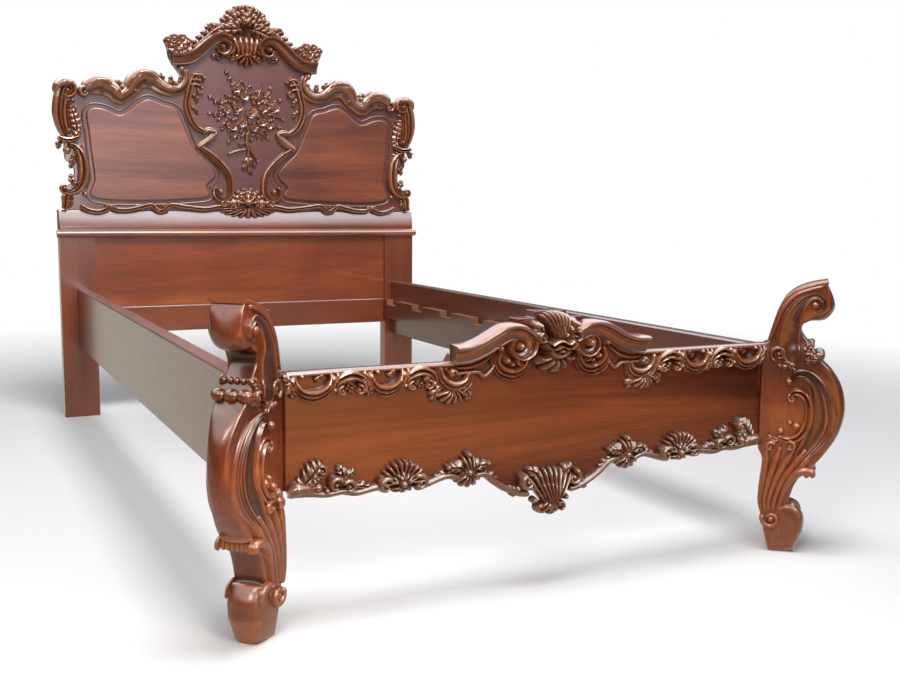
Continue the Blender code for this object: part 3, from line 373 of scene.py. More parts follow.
def linked(name, mesh):
    """A new object of a mesh, as the only selected and active one."""
    piece = bpy.data.objects.new(name, mesh)
    bpy.context.scene.collection.objects.link(piece)
    bpy.ops.object.select_all(action="DESELECT")
    piece.select_set(True)
    bpy.context.view_layer.objects.active = piece
    return piece


def dressed(piece, material, node):
    piece.data.materials.clear()
    piece.data.materials.append(material)
    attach(piece, "root")
    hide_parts(node)


def glazed_and_shaded(mesh, face=None):
    """Writes how far each point stands out of the carving, from a hollow at 0 to a crest at 1. Low values
    give dark glazing with painted shade, high ones rubbed wear with a painted highlight, and the value falls
    near the board's face as painted shade.
    """
    count = len(mesh.vertices)
    spots = np.empty(count * 3)
    normals = np.empty(count * 3)
    mesh.vertices.foreach_get("co", spots)
    mesh.vertices.foreach_get("normal", normals)
    spots, normals = spots.reshape(-1, 3), normals.reshape(-1, 3)
    edges = np.empty(len(mesh.edges) * 2, int)
    mesh.edges.foreach_get("vertices", edges)
    a, b = edges.reshape(-1, 2).T
    way = unit(spots[b] - spots[a])
    sunk = np.zeros(count)
    shared = np.zeros(count)
    np.add.at(sunk, a, (normals[a] * way).sum(1))
    np.add.at(sunk, b, -(normals[b] * way).sum(1))
    np.add.at(shared, a, 1)
    np.add.at(shared, b, 1)
    shared = np.maximum(shared, 1)
    value = np.clip(0.5 - 1.7 * sunk / shared, 0, 1)
    for again in range(2):
        mean = np.zeros(count)
        np.add.at(mean, a, value[b])
        np.add.at(mean, b, value[a])
        value = 0.5 * value + 0.5 * mean / shared
    if face is not None:
        # Painted shade: points near the board's face darken, where the carving meets the board
        value = value * (0.45 + 0.55 * np.clip((face - spots[:, 1]) / FOOT_SHADE_DEPTH, 0, 1))
    held = mesh.attributes.new("glaze", "FLOAT", "POINT")
    held.data.foreach_set("value", value.astype(np.float32))


def carved_piece(name, points, faces, material, node, face=None):
    """A finished carving from points and faces: welded, smoothed, given its glazing and painted shade,
    stained and put on the frame.
    """
    mesh = bpy.data.meshes.new(name)
    mesh.from_pydata(points.tolist(), [], faces)
    work = bmesh.new()
    work.from_mesh(mesh)
    bmesh.ops.remove_doubles(work, verts=work.verts, dist=WELD)
    work.to_mesh(mesh)
    work.free()
    mesh.update()
    glazed_and_shaded(mesh, face)
    piece = linked(name, mesh)
    bpy.ops.object.shade_smooth_by_angle(angle=math.radians(50))
    dressed(piece, material, node)


def carve(node, shapes, place, pair=True, kind=None, word="carved"):
    """Carves a piece on a board's face, and its mirror image on the right where it is one of a pair."""
    points, faces = gathered(shapes)
    face, base = place
    points = np.stack([points[:, 0] * MM, face - points[:, 2] * MM, base + points[:, 1] * MM], axis=1)
    material = carved_mahogany(kind or ("apron" if place is FOOT else "carved"))
    for side, way in (("_left", 1), ("_right", -1)) if pair else (("", 1),):
        spots = points * np.array([way, 1.0, 1.0])
        carved_piece(f"{node}_{word}{side}", spots, faces[:, ::way].tolist(), material, node + side, face)


def prism(name, first, last, soften, material, slot, node):
    """A piece between two like outlines, with its edges softened."""
    work = bmesh.new()
    near, far = [[work.verts.new(spot) for spot in outline] for outline in (first, last)]
    work.faces.new(near)
    work.faces.new(far[::-1])
    for k in range(len(near)):
        work.faces.new((near[k], near[k - 1], far[k - 1], far[k]))
    bmesh.ops.recalc_face_normals(work, faces=work.faces)
    mesh = bpy.data.meshes.new(name)
    work.to_mesh(mesh)
    work.free()
    piece = linked(name, mesh)
    softened(piece, soften)
    dressed(piece, material, node)


def board(name, front, back, near, far, soften, material, slot, node):
    """A board sawn to a shape, from its front and back outlines in metres."""
    prism(name, [(x, near, z) for x, z in front], [(x, far, z) for x, z in back], soften, material, slot,
          node)


def length_piece(name, profile, start, end, soften, material, node):
    """A length of moulding across the bed, from its profile (back to front, height) in metres."""
    ends = [[(x, y, z) for y, z in profile] for x in (start, end)]
    prism(name, *ends, soften, material, "mahogany", node)


def softened(piece, width):
    """Rounds the sharp edges of the active piece."""
    bevel = piece.modifiers.new("soft edge", "BEVEL")
    bevel.width = width
    bevel.segments = 3
    bevel.limit_method = "ANGLE"
    bevel.angle_limit = math.radians(40)
    bevel.use_clamp_overlap = True
    bpy.ops.object.modifier_apply(modifier=bevel.name)
    bpy.ops.object.shade_smooth_by_angle(angle=math.radians(35))
    flat = piece.modifiers.new("flat faces", "WEIGHTED_NORMAL")
    flat.keep_sharp = True
    bpy.ops.object.modifier_apply(modifier=flat.name)


def timber(node, material, width, top=None):
    """A plain piece: the node's own shape, merged, softened, and cut down to a height where asked."""
    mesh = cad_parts[node].data.copy()
    piece = linked(node + "_timber", mesh)
    bpy.ops.object.mode_set(mode="EDIT")
    bpy.ops.mesh.select_all(action="SELECT")
    bpy.ops.mesh.remove_doubles(threshold=1e-5)
    bpy.ops.mesh.tris_convert_to_quads(face_threshold=math.radians(1), shape_threshold=math.radians(180))
    bpy.ops.mesh.dissolve_limited(angle_limit=math.radians(0.5))
    bpy.ops.object.mode_set(mode="OBJECT")
    if top is not None:
        for spot in mesh.vertices:
            spot.co.z = min(spot.co.z, top)
    softened(piece, width)
    dressed(piece, material, node)


def seats(node):
    """A thin pale skin on a ledger's upward faces and in its notches: a painted highlight."""
    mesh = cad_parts[node].data.copy()
    work = bmesh.new()
    work.from_mesh(mesh)
    work.normal_update()
    bmesh.ops.remove_doubles(work, verts=work.verts, dist=1e-5)
    low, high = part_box(node)
    lost = []
    for face in work.faces:
        inside = low[1] + SEAT_EDGE < face.calc_center_median().y < high[1] - SEAT_EDGE
        if not (face.normal.z > 0.7 or (abs(face.normal.y) > 0.7 and inside)):
            lost.append(face)
    bmesh.ops.delete(work, geom=lost, context="FACES")
    work.to_mesh(mesh)
    work.free()
    piece = linked(node + "_seats", mesh)
    skin = piece.modifiers.new("skin", "SOLIDIFY")
    skin.thickness = SEAT_SKIN
    skin.offset = 0.4
    bpy.ops.object.modifier_apply(modifier=skin.name)
    dressed(piece, seat_highlight_wood(), node)


# Finishes

def stain(red, green, blue):
    """A colour as seen, from 0 to 255, in the renderer's own scale."""
    parts = [c / 255 for c in (red, green, blue)]
    return tuple(c / 12.92 if c <= 0.04045 else ((c + 0.055) / 1.055) ** 2.4 for c in parts) + (1.0,)


def feed(tree, node, inputs):
    """Sets each named input of a node to a value, or links it to another node's output."""
    for name, value in inputs.items():
        if isinstance(value, bpy.types.NodeSocket):
            tree.links.new(value, node.inputs[name])
        else:
            node.inputs[name].default_value = value


def wire(tree, kind, inputs=None, **settings):
    """A new node with its settings, and with its inputs fed."""
    made = tree.nodes.new("ShaderNode" + kind)
    for name, value in settings.items():
        setattr(made, name, value)
    feed(tree, made, inputs or {})
    return made


def ramp(tree, value, stops):
    made = wire(tree, "ValToRGB", {"Fac": value})
    marks = made.color_ramp.elements
    while len(marks) > 1:
        marks.remove(marks[-1])
    marks[0].position, marks[0].color = stops[0]
    for place, colour in stops[1:]:
        marks.new(place).color = colour
    return made.outputs["Color"]


def span(tree, value, start, end, low=0.0, high=1.0, way="LINEAR"):
    """A value carried from one range to another."""
    ends = {"Value": value, "From Min": start, "From Max": end, "To Min": low, "To Max": high}
    return wire(tree, "MapRange", ends, interpolation_type=way).outputs["Result"]


def noise(tree, stretch, scale, detail, roughness, distortion=0.0, turn=0.0):
    """Noise on an object's own spots, stretched along its axes and turned in the boards' plane."""
    spot = wire(tree, "TexCoord").outputs["Object"]
    place = wire(tree, "Mapping", {"Vector": spot, "Scale": stretch, "Rotation": (0.0, turn, 0.0)})
    made = wire(tree, "TexNoise", {"Vector": place.outputs["Vector"], "Scale": scale, "Detail": detail,
                                   "Roughness": roughness, "Distortion": distortion})
    return made.outputs["Fac"]


def product(tree, first, second):
    return wire(tree, "Math", {0: first, 1: second}, operation="MULTIPLY").outputs["Value"]


def blend(tree, part, first, second, way="MIX"):
    """One colour laid over another by a part."""
    made = wire(tree, "Mix", {"Factor": part, "A": first, "B": second}, data_type="RGBA", blend_type=way)
    return made.outputs["Result"]


def either(tree, part, first, second):
    return wire(tree, "MixShader", {"Fac": part, 1: first, 2: second}).outputs["Shader"]


def bumped(tree, height, strength, distance):
    return wire(tree, "Bump",
                {"Height": height, "Strength": strength, "Distance": distance}).outputs["Normal"]


def fresh(name):
    made = bpy.data.materials.new(name)
    made.use_nodes = True
    return made, made.node_tree, made.node_tree.nodes["Principled BSDF"]


def stained(kind):
    """The dark, middle and light stain of a kind of timber or carving."""
    finish = bpy.context.scene.bed_finish
    return [tuple(getattr(finish, kind + "_" + shade)) + (1,) for shade in SHADES]


def polish(coat, coat_rough, level):
    return {"Coat Weight": coat, "Coat Roughness": coat_rough, "Coat IOR": 1.5, "Specular IOR Level": level}


def grain_wood(name, grain, kind, figure=0.0, coat=0.85, coat_rough=0.07, level=0.4, soft=1.0):
    """Polished mahogany with its grain along one axis."""
    if name in bpy.data.materials:
        return bpy.data.materials[name]
    made, tree, shader = fresh(name)
    dark, middle, light = stained(kind)
    wide = [7.0, 7.0, 7.0]
    fine = [300.0, 300.0, 300.0]
    wide["xyz".index(grain)] = 0.55
    fine["xyz".index(grain)] = 9.0
    streak = noise(tree, wide, 1.6, 8.0, 0.62, 0.9, figure)
    pore = noise(tree, fine, 1.0, 3.0, 0.6, turn=figure * 0.3)
    cloud = noise(tree, (1, 1, 1), 2.6, 3.0, 0.5, 0.4)
    body = ramp(tree, streak, ((0.5 - 0.28 * soft, dark), (0.5, middle), (0.5 + 0.3 * soft, light)))
    lines = ramp(tree, pore, ((0.36, (0.45, 0.40, 0.38, 1)), (0.52, WHITE)))
    tone = ramp(tree, cloud, ((0.3, (0.72, 0.68, 0.66, 1)), (0.7, (1.12, 1.1, 1.08, 1))))
    body = blend(tree, 0.42, body, lines, "MULTIPLY")
    feed(tree, shader, {
        "Base Color": blend(tree, 1.0, body, tone, "MULTIPLY"),
        "Roughness": span(tree, pore, 0, 1, 0.42, 0.28),
        "Normal": bumped(tree, pore, 0.05, 0.0008),
        **polish(coat, coat_rough, level),
    })
    return made


def wood(grain):
    return grain_wood("polished_mahogany_" + grain, grain, "wood", coat_rough=0.16)


def rail_wood():
    return grain_wood("rail_mahogany", "y", "rail", coat_rough=0.16)


# Pale uncoated wood on the ledgers' seats: a painted highlight
def seat_highlight_wood():
    return grain_wood("raw_mahogany", "y", "raw", coat=0.0)


def bead_wood():
    return grain_wood("golden_bead", "x", "bead", coat=1.0, coat_rough=0.1)


def panel_wood():
    return grain_wood("figured_panel", "x", "panel", 0.10, soft=0.6)


def field_wood():
    return grain_wood("figured_field", "x", "field", 0.14, soft=0.6)


def foot_wood():
    return grain_wood("figured_foot_panel", "x", "foot", 0.12, level=0.08, soft=0.5)


# The carving's ground: the board's wood stained darker and purplish grey, as painted shade and painted
# reflection
def shaded_ground_wood():
    return grain_wood("carving_ground", "x", "ground", coat=0.7, coat_rough=0.12)


# For each kind of carving: its polish, where the glazing and painted shade give way to each stain up to the
# crests' painted highlight, and its fibre's stretch
CARVED_KINDS = {
    "carved": (polish(0.5, 0.07, 0.85), (0.12, 0.36, 0.53, 0.78), (30.0, 30.0, 260.0)),
    "apron": (polish(0.5, 0.07, 0.7), (0.12, 0.36, 0.53, 0.78), (30.0, 30.0, 260.0)),
    "cornice": (polish(0.5, 0.07, 0.5), (0.12, 0.36, 0.53, 0.78), (30.0, 30.0, 260.0)),
    "leg": (polish(0.3, 0.07, 0.5), (0.2, 0.42, 0.54, 0.76), (160.0, 160.0, 14.0)),
}


def carved_mahogany(kind="carved"):
    """Stained carving: dark glazing with painted shade in the hollows, crests lighter and warmer as rubbed
    wear with a painted highlight.
    """
    name = kind + "_mahogany"
    if name in bpy.data.materials:
        return bpy.data.materials[name]
    made, tree, shader = fresh(name)
    gloss, stops, fibres = CARVED_KINDS[kind]
    held = wire(tree, "Attribute", attribute_name="glaze").outputs["Fac"]
    blotch = noise(tree, (1, 1, 1), 55.0, 4.0, 0.6)
    fibre = noise(tree, fibres, 1.0, 3.0, 0.6)
    uneven = wire(tree, "Math", {0: blotch, 1: 0.22, 2: -0.11}, operation="MULTIPLY_ADD").outputs["Value"]
    total = wire(tree, "Math", {0: held, 1: uneven}, operation="ADD", use_clamp=True).outputs["Value"]
    # Painted shade darkens the hollows along with the glazing; the crests' light stain is rubbed wear and a
    # painted highlight
    glaze = tuple(bpy.context.scene.bed_finish.glaze_dark) + (1,)
    body = ramp(tree, total, tuple(zip(stops, [glaze] + stained(kind))))
    lines = ramp(tree, fibre, ((0.38, (0.6, 0.55, 0.52, 1)), (0.55, WHITE)))
    colour = blend(tree, 0.4, body, lines, "MULTIPLY")
    # Legs get painted light and shade by height, laid over their stain
    if kind == "leg":
        colour = blend(tree, 1.0, colour, leg_shading(tree), "MULTIPLY")
    feed(tree, shader, {
        "Base Color": colour,
        "Roughness": span(tree, held, 0, 1, 0.40, 0.17),
        "Normal": bumped(tree, blotch, 0.12, 0.001),
        "Specular Tint": (1.0, 0.90, 0.76, 1.0),
        **gloss,
    })
    return made


def leg_shading(tree):
    """Painted light and shade up a leg from its foot, laid over its stain: lighter and golden at the ankle,
    painted shade over the knee.
    """
    spot = wire(tree, "TexCoord").outputs["Object"]
    height = wire(tree, "SeparateXYZ", {"Vector": spot}).outputs["Z"]
    return ramp(tree, span(tree, height, 0.0, 0.6), (
        (0.10, (1.25, 1.40, 1.55, 1)), (0.34, (1.40, 1.55, 1.65, 1)), (0.50, (1.12, 1.04, 1.0, 1)),
        (0.64, (0.58, 0.52, 0.54, 1)), (0.72, (0.62, 0.56, 0.56, 1)), (0.88, (0.95, 0.84, 0.82, 1))))


def dull_steel():
    name = "dull_steel"
    if name in bpy.data.materials:
        return bpy.data.materials[name]
    made, tree, shader = fresh(name)
    spot = noise(tree, (40, 40, 220), 2.0, 5.0, 0.6)
    body = ramp(tree, spot, ((0.3, stain(112, 110, 106)), (0.7, stain(165, 163, 158))))
    feed(tree, shader, {"Base Color": body, "Metallic": 1.0, "Roughness": span(tree, spot, 0, 1, 0.32, 0.55)})
    return made


def pale_floor():
    """A near-white floor that keeps the shadow near the bed and runs out into plain white.

    In reflections the floor shows tones that it gives off itself, a painted reflection: dark in front with a
    bright warm part to the left, a dark patch at the left front, and pale under the bed.
    """
    made, tree, shader = fresh("pale_floor")
    feed(tree, shader, {"Base Color": (0.71, 0.71, 0.71, 1), "Roughness": 0.7, "Specular IOR Level": 0.1})
    spot = wire(tree, "TexCoord").outputs["Object"]
    place = wire(tree, "SeparateXYZ", {"Vector": spot}).outputs
    seen = wire(tree, "LightPath").outputs
    away = wire(tree, "VectorMath", {0: spot}, operation="LENGTH").outputs["Value"]
    far = product(tree, span(tree, away, 1.4, 4.0, way="SMOOTHSTEP"), seen["Is Camera Ray"])
    shown = either(tree, far, shader.outputs["BSDF"], wire(tree, "Emission").outputs["Emission"])
    # Painted reflection: tones the floor gives off in the polish only, dark in front and pale under the bed
    tone = ramp(tree, span(tree, place["Y"], -2.8, 1.2), (
        (0.0, (0.03, 0.025, 0.02, 1)), (0.20, (0.05, 0.045, 0.04, 1)), (0.30, (0.2, 0.19, 0.18, 1)),
        (0.35, (0.7, 0.67, 0.62, 1)), (0.42, (0.7, 0.67, 0.62, 1)), (1.0, (0.66, 0.62, 0.53, 1))))
    # A bright warm glow to the left front, seen only in reflections: a painted reflection
    warm = product(tree, span(tree, place["X"], 2.1, 0.0), span(tree, place["Y"], -1.6, -2.0))
    tone = blend(tree, warm, tone, (3.7, 1.60, 0.50, 1))
    # A dark patch at the left front, seen only in reflections: a painted dark reflection
    corner = product(tree, span(tree, place["X"], -0.8, -1.2), span(tree, place["Y"], -1.1, -1.4))
    tone = blend(tree, corner, tone, (0.12, 0.08, 0.05, 1))
    mirrored = wire(tree, "Emission", {"Color": tone}).outputs["Emission"]
    feed(tree, tree.nodes["Material Output"],
         {"Surface": either(tree, seen["Is Glossy Ray"], shown, mirrored)})
    return made


def pale_room():
    """A white room to the camera and a soft light on the bed.

    The polish mirrors dim walls, a bright ring above them and two windows.
    """
    world = bpy.data.worlds.new("pale_room")
    world.use_nodes = True
    tree = world.node_tree
    shade = tree.nodes["Background"]
    feed(tree, shade, {"Color": (0.86, 0.89, 0.94, 1), "Strength": 0.19})
    spot = wire(tree, "TexCoord").outputs["Generated"]
    up = wire(tree, "SeparateXYZ", {"Vector": spot}).outputs["Z"]
    wall = ramp(tree, up,
                ((0.0, (0.13, 0.12, 0.12, 1)), (0.30, (0.22, 0.22, 0.23, 1)), (0.50, (0.9, 0.94, 1.0, 1))))
    ring = ((0.34, 1.0), (0.50, 3.4), (0.80, 4.8), (0.92, 4.6), (0.965, 1.3), (1.0, 0.8))
    above = ramp(tree, up, [(z, (light, light, light, 1)) for z, light in ring])
    lit = wire(tree, "Background", {"Color": wall, "Strength": above}).outputs["Background"]
    for way, full, gone, strength, colour in (((0.12, -0.985, 0.12), 0.07, 0.25, 2.6, (0.50, 0.80, 1.0, 1)),
                                              ((0.25, -0.80, 0.55), 0.13, 0.38, 9.0, (0.64, 0.88, 1.0, 1))):
        apart = wire(tree, "VectorMath", {0: spot, 1: way}, operation="DISTANCE").outputs["Value"]
        near = span(tree, apart, full, gone, strength, 0.0, "SMOOTHSTEP")
        glow = wire(tree, "Background", {"Color": colour, "Strength": near}).outputs["Background"]
        lit = wire(tree, "AddShader", {0: lit, 1: glow}).outputs["Shader"]
    white = wire(tree, "Background", {"Color": WHITE}).outputs["Background"]
    seen = wire(tree, "LightPath").outputs
    gloss = either(tree, seen["Is Glossy Ray"], shade.outputs["Background"], lit)
    feed(tree, tree.nodes["World Output"], {"Surface": either(tree, seen["Is Camera Ray"], gloss, white)})
    return world


# Drawings of the left half

WAVE = ((-536, 381), (-518, 398), (-485, 408), (-452, 395), (-426, 373), (-395, 391), (-371, 424),
        (-344, 439), (-315, 430), (-288, 411), (-258, 401), (-229, 407), (-210, 427), (-206, 448))
PEDIMENT = ((-252, 503), (-224, 504), (-194, 511), (-165, 530), (-136, 556), (-108, 578), (-80, 584),
            (-55, 572))
SIDE_UPPER = ((-598, 232), (-612, 266), (-618, 312), (-613, 358), (-602, 392), (-584, 405))
SIDE_EDGE = ((-607, 0), (-607, 44), (-606, 72), (-582, 90), (-573, 124), (-582, 152), (-600, 164),
             (-603, 226))
ROSETTE_SEAT = ((-232, 468), (-254, 500), (-262, 532), (-252, 564), (-226, 566), (-212, 540))
CARTOUCHE = ((-150, 432), (-162, 458), (-180, 446), (-194, 408), (-204, 360), (-197, 318), (-176, 283),
             (-140, 263))
CARTOUCHE_FOOT = ((-166, 216), (-132, 194), (-100, 166), (-74, 135), (-61, 105), (-60, 78))
BORDER = ((-560, 14), (-536, 0), (-504, -6), (-478, 2), (-464, 12), (-446, 2), (-408, 1), (-368, 9),
          (-334, 17), (-318, 5), (-298, -4), (-282, 7), (-264, 18), (-226, 13), (-186, 8), (-150, 5),
          (-118, 10), (-84, 16))
HEAD_FIELD = ((-532, 312), (-512, 332), (-476, 330), (-430, 313), (-398, 326), (-366, 352), (-332, 368),
              (-288, 354), (-242, 338), (-214, 282), (-184, 212), (-112, 130), (-144, 84), (-160, 42),
              (-500, 36), (-512, 110), (-526, 250))
APRON = ((-506, 6), (-470, 4), (-440, 0), (-412, 2), (-385, -3), (-345, 2), (-305, -4), (-268, -6),
         (-215, 8), (-180, 0), (-140, 4), (-114, -14), (-90, -29), (-56, -42), (0, -46))
FOOT_CORNICE = ((-205, 226), (-176, 228), (-150, 236), (-124, 249), (-100, 260), (-76, 261), (-55, 250))
LEG_FRONT = ((96, 42), (97, 74), (79, 101), (66, 104), (76, 145), (94, 172), (114, 190), (134, 214),
             (156, 252), (167, 300), (161, 348), (140, 386), (118, 408), (98, 434), (77, 462), (78, 480),
             (92, 486), (120, 490), (137, 512), (134, 536), (119, 567))
LEG_BACK = ((92, 559), (62, 546), (35, 514), (23, 474), (14, 445), (0, 437))
LEG_HEEL = ((0, 217), (9, 196), (12, 148), (7, 100), (17, 48))


def beside(points, step):
    """A line drawn beside another, to its left."""
    path = smooth_line(points, 8.0)
    return path + left_of(path) * step


class BedSizes(bpy.types.PropertyGroup):
    """Sizes that a user may change."""

    arris: bpy.props.FloatProperty(
        name="Arris", description="Rounding of the plain timber's edges", default=0.003, min=0.0, max=0.01,
        unit="LENGTH")
    wave_rise: bpy.props.FloatProperty(
        name="Wave Rise", description="How far the wavy top moulding stands out", default=0.030,
        unit="LENGTH")
    cornice_rise: bpy.props.FloatProperty(
        name="Cornice Rise", description="How far the pediment's cornices stand out", default=0.042,
        unit="LENGTH")
    field_rise: bpy.props.FloatProperty(
        name="Field Rise", description="Thickness of the raised fields", default=0.009, unit="LENGTH")
    bead: bpy.props.FloatProperty(
        name="Bead", description="Half width of the bead along the apron", default=0.007, unit="LENGTH")


# Stains as seen, from 0 to 255: dark, middle and light
SHADES = ("dark", "middle", "light")
STAINS = {
    "wood": ("posts, the band and the lower rail", (98, 43, 23), (119, 55, 29), (132, 66, 36)),
    "rail": ("side rails and ledgers", (74, 28, 15), (92, 37, 20), (106, 47, 26)),
    "panel": ("headboard's lower panel", (118, 54, 27), (138, 66, 33), (151, 77, 40)),
    "field": ("raised fields", (92, 44, 26), (126, 65, 38), (150, 84, 50)),
    "foot": ("footboard's panel", (62, 21, 12), (94, 36, 20), (124, 56, 31)),
    # The ground's darker, purplish stain is painted shade and painted reflection on the same wood
    "ground": ("ground behind the carving", (90, 44, 36), (108, 55, 45), (120, 66, 54)),
    "bead": ("band's half-round moulding", (112, 58, 32), (142, 78, 44), (162, 98, 60)),
    # The seats' pale stain is a painted highlight on the ledgers' upward faces and in their notches
    "raw": ("unpolished seats for the slats", (126, 80, 58), (154, 106, 82), (174, 128, 104)),
    "carved": ("headboard's carving and the footboard's scrolls", (64, 29, 19), (98, 48, 30), (138, 85, 56)),
    "apron": ("footboard's other carving", (46, 23, 15), (80, 43, 28), (116, 74, 50)),
    "cornice": ("cornices and flowers", (56, 25, 15), (94, 43, 25), (126, 72, 44)),
    "leg": ("legs", (66, 28, 15), (104, 45, 22), (134, 72, 40)),
    # The hollows' dark stain is glazing and also painted shade in the hollows and at the carving's foot
    "glaze": ("hollows of the carving", (32, 15, 10)),
}


def stain_choice(kind, shade, words, colour):
    return bpy.props.FloatVectorProperty(
        name=f"{kind} {shade}".title(), description=f"{shade.title()} stain of the {words}", subtype="COLOR",
        size=3, min=0, max=1, default=stain(*colour)[:3])


class BedFinish(bpy.types.PropertyGroup):
    """Stains that a user may change."""

    __annotations__ = {
        f"{kind}_{shade}": stain_choice(kind, shade, words, colour)
        for kind, (words, *colours) in STAINS.items()
        for shade, colour in zip(SHADES, colours)
    }


class BED_OT_timber(bpy.types.Operator):
    """Rails, posts, ledgers and the plain parts of the headboard"""

    bl_idname = "bed.timber"
    bl_label = "Plain Timber"

    def execute(self, context):
        soft = context.scene.bed_sizes.arris
        for side in ("left", "right"):
            timber("side_rail_" + side, rail_wood(), soft)
            timber("ledger_" + side, rail_wood(), 0.0012)
            seats("ledger_" + side)
            timber("head_post_" + side, wood("z"), soft, top=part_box("head_moulding")[0][2] + 0.008)
            timber("foot_block_" + side, wood("z"), 0.002)
        timber("head_lower_rail", wood("x"), soft)
        timber("head_lower_panel", panel_wood(), 0.001)
        low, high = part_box("head_band")
        deep = HEAD_FACE - low[1]
        sweep = [(low[1] + deep * q ** 1.35, high[2] - 0.056 * (1 - q)) for q in np.linspace(0, 1, 14)]
        profile = [(high[1], low[2]), (low[1], low[2])] + sweep + [(high[1], high[2])]
        start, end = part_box("head_post_left")[0][0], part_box("head_post_right")[1][0]
        length_piece("head_band_coved", profile, start, end, 0.003, wood("x"), "head_band")
        low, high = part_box("head_moulding")
        middle, half = (low[2] + high[2]) / 2, (high[2] - low[2]) / 2
        deep = high[1] - low[1]
        turns = np.linspace(-math.pi / 2, math.pi / 2, 15)
        sweep = [(high[1] - deep * math.cos(a), middle + half * math.sin(a)) for a in turns]
        length_piece("head_moulding_round", sweep, low[0], high[0], 0.002, bead_wood(), "head_moulding")
        timber("head_cleat", wood("x"), 0.0015)
        timber("foot_cleat", wood("x"), 0.0015)
        return {"FINISHED"}


class BED_OT_boards(bpy.types.Operator):
    """The headboard's shaped board, its raised fields and the footboard's panel"""

    bl_idname = "bed.boards"
    bl_label = "Boards And Fields"

    def execute(self, context):
        edge = list(smooth_line(SIDE_EDGE[2:], 6.0))
        half = [SIDE_EDGE[0], SIDE_EDGE[1]] + edge
        half += list(beside(SIDE_UPPER, 6.0)) + list(beside(WAVE, 12.0))
        half += list(smooth_line(ROSETTE_SEAT, 6.0)) + list(beside(PEDIMENT, 8.0)[9:]) + [(-20, 606)]
        outline = half + mirror(half)[::-1]
        low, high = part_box("head_board")
        flat = stood(outline, HEAD_FOOT)
        board("head_board_shaped", flat, flat, low[1], high[1], 0.0015, shaded_ground_wood(), "mahogany",
              "head_board")

        rise = context.scene.bed_sizes.field_rise
        field = smooth_line(HEAD_FIELD, 7.0, True)
        flat = stood(field, HEAD_FOOT)
        for name, shape in (("left", flat), ("right", mirror(flat)[::-1])):
            board("head_field_raised_" + name, shape, shape, low[1] - rise, low[1] + 0.001, 0.006,
                  field_wood(), "panel", "head_field_" + name)
        ring = [tuple(p) for p in field + left_of(field) * 13.0]
        ring.append(ring[0])
        carve("head_field", [moulding(ring, 3.0, 3.6, ROUND, 4.0, (0, 0))], HEAD, word="bead")

        hump = [(-205, 209), (-196, 224), (-176, 218), (-150, 224), (-124, 236), (-100, 247), (-78, 262),
                (-70, 272), (-70, 284), (-34, 284), (-34, 297)]
        half = [(-PANEL_HALF / MM, 209)] + hump
        lower = [(x, z + 4) for x, z in smooth_line(APRON, 5.0)]
        lower[0] = (-PANEL_HALF / MM, 10)
        outline = lower + mirror(lower[:-1])[::-1] + mirror(half) + half[::-1]
        flat = stood(outline, FOOT_BASE)
        thick = FOOT_BACK - FOOT_FACE
        back = [(x + math.copysign(thick, x) * (abs(x) > PANEL_HALF - 0.004), z) for x, z in flat]
        board("foot_panel_shaped", flat, back, FOOT_FACE, FOOT_BACK, 0.002, foot_wood(), "panel",
              "foot_panel")
        return {"FINISHED"}


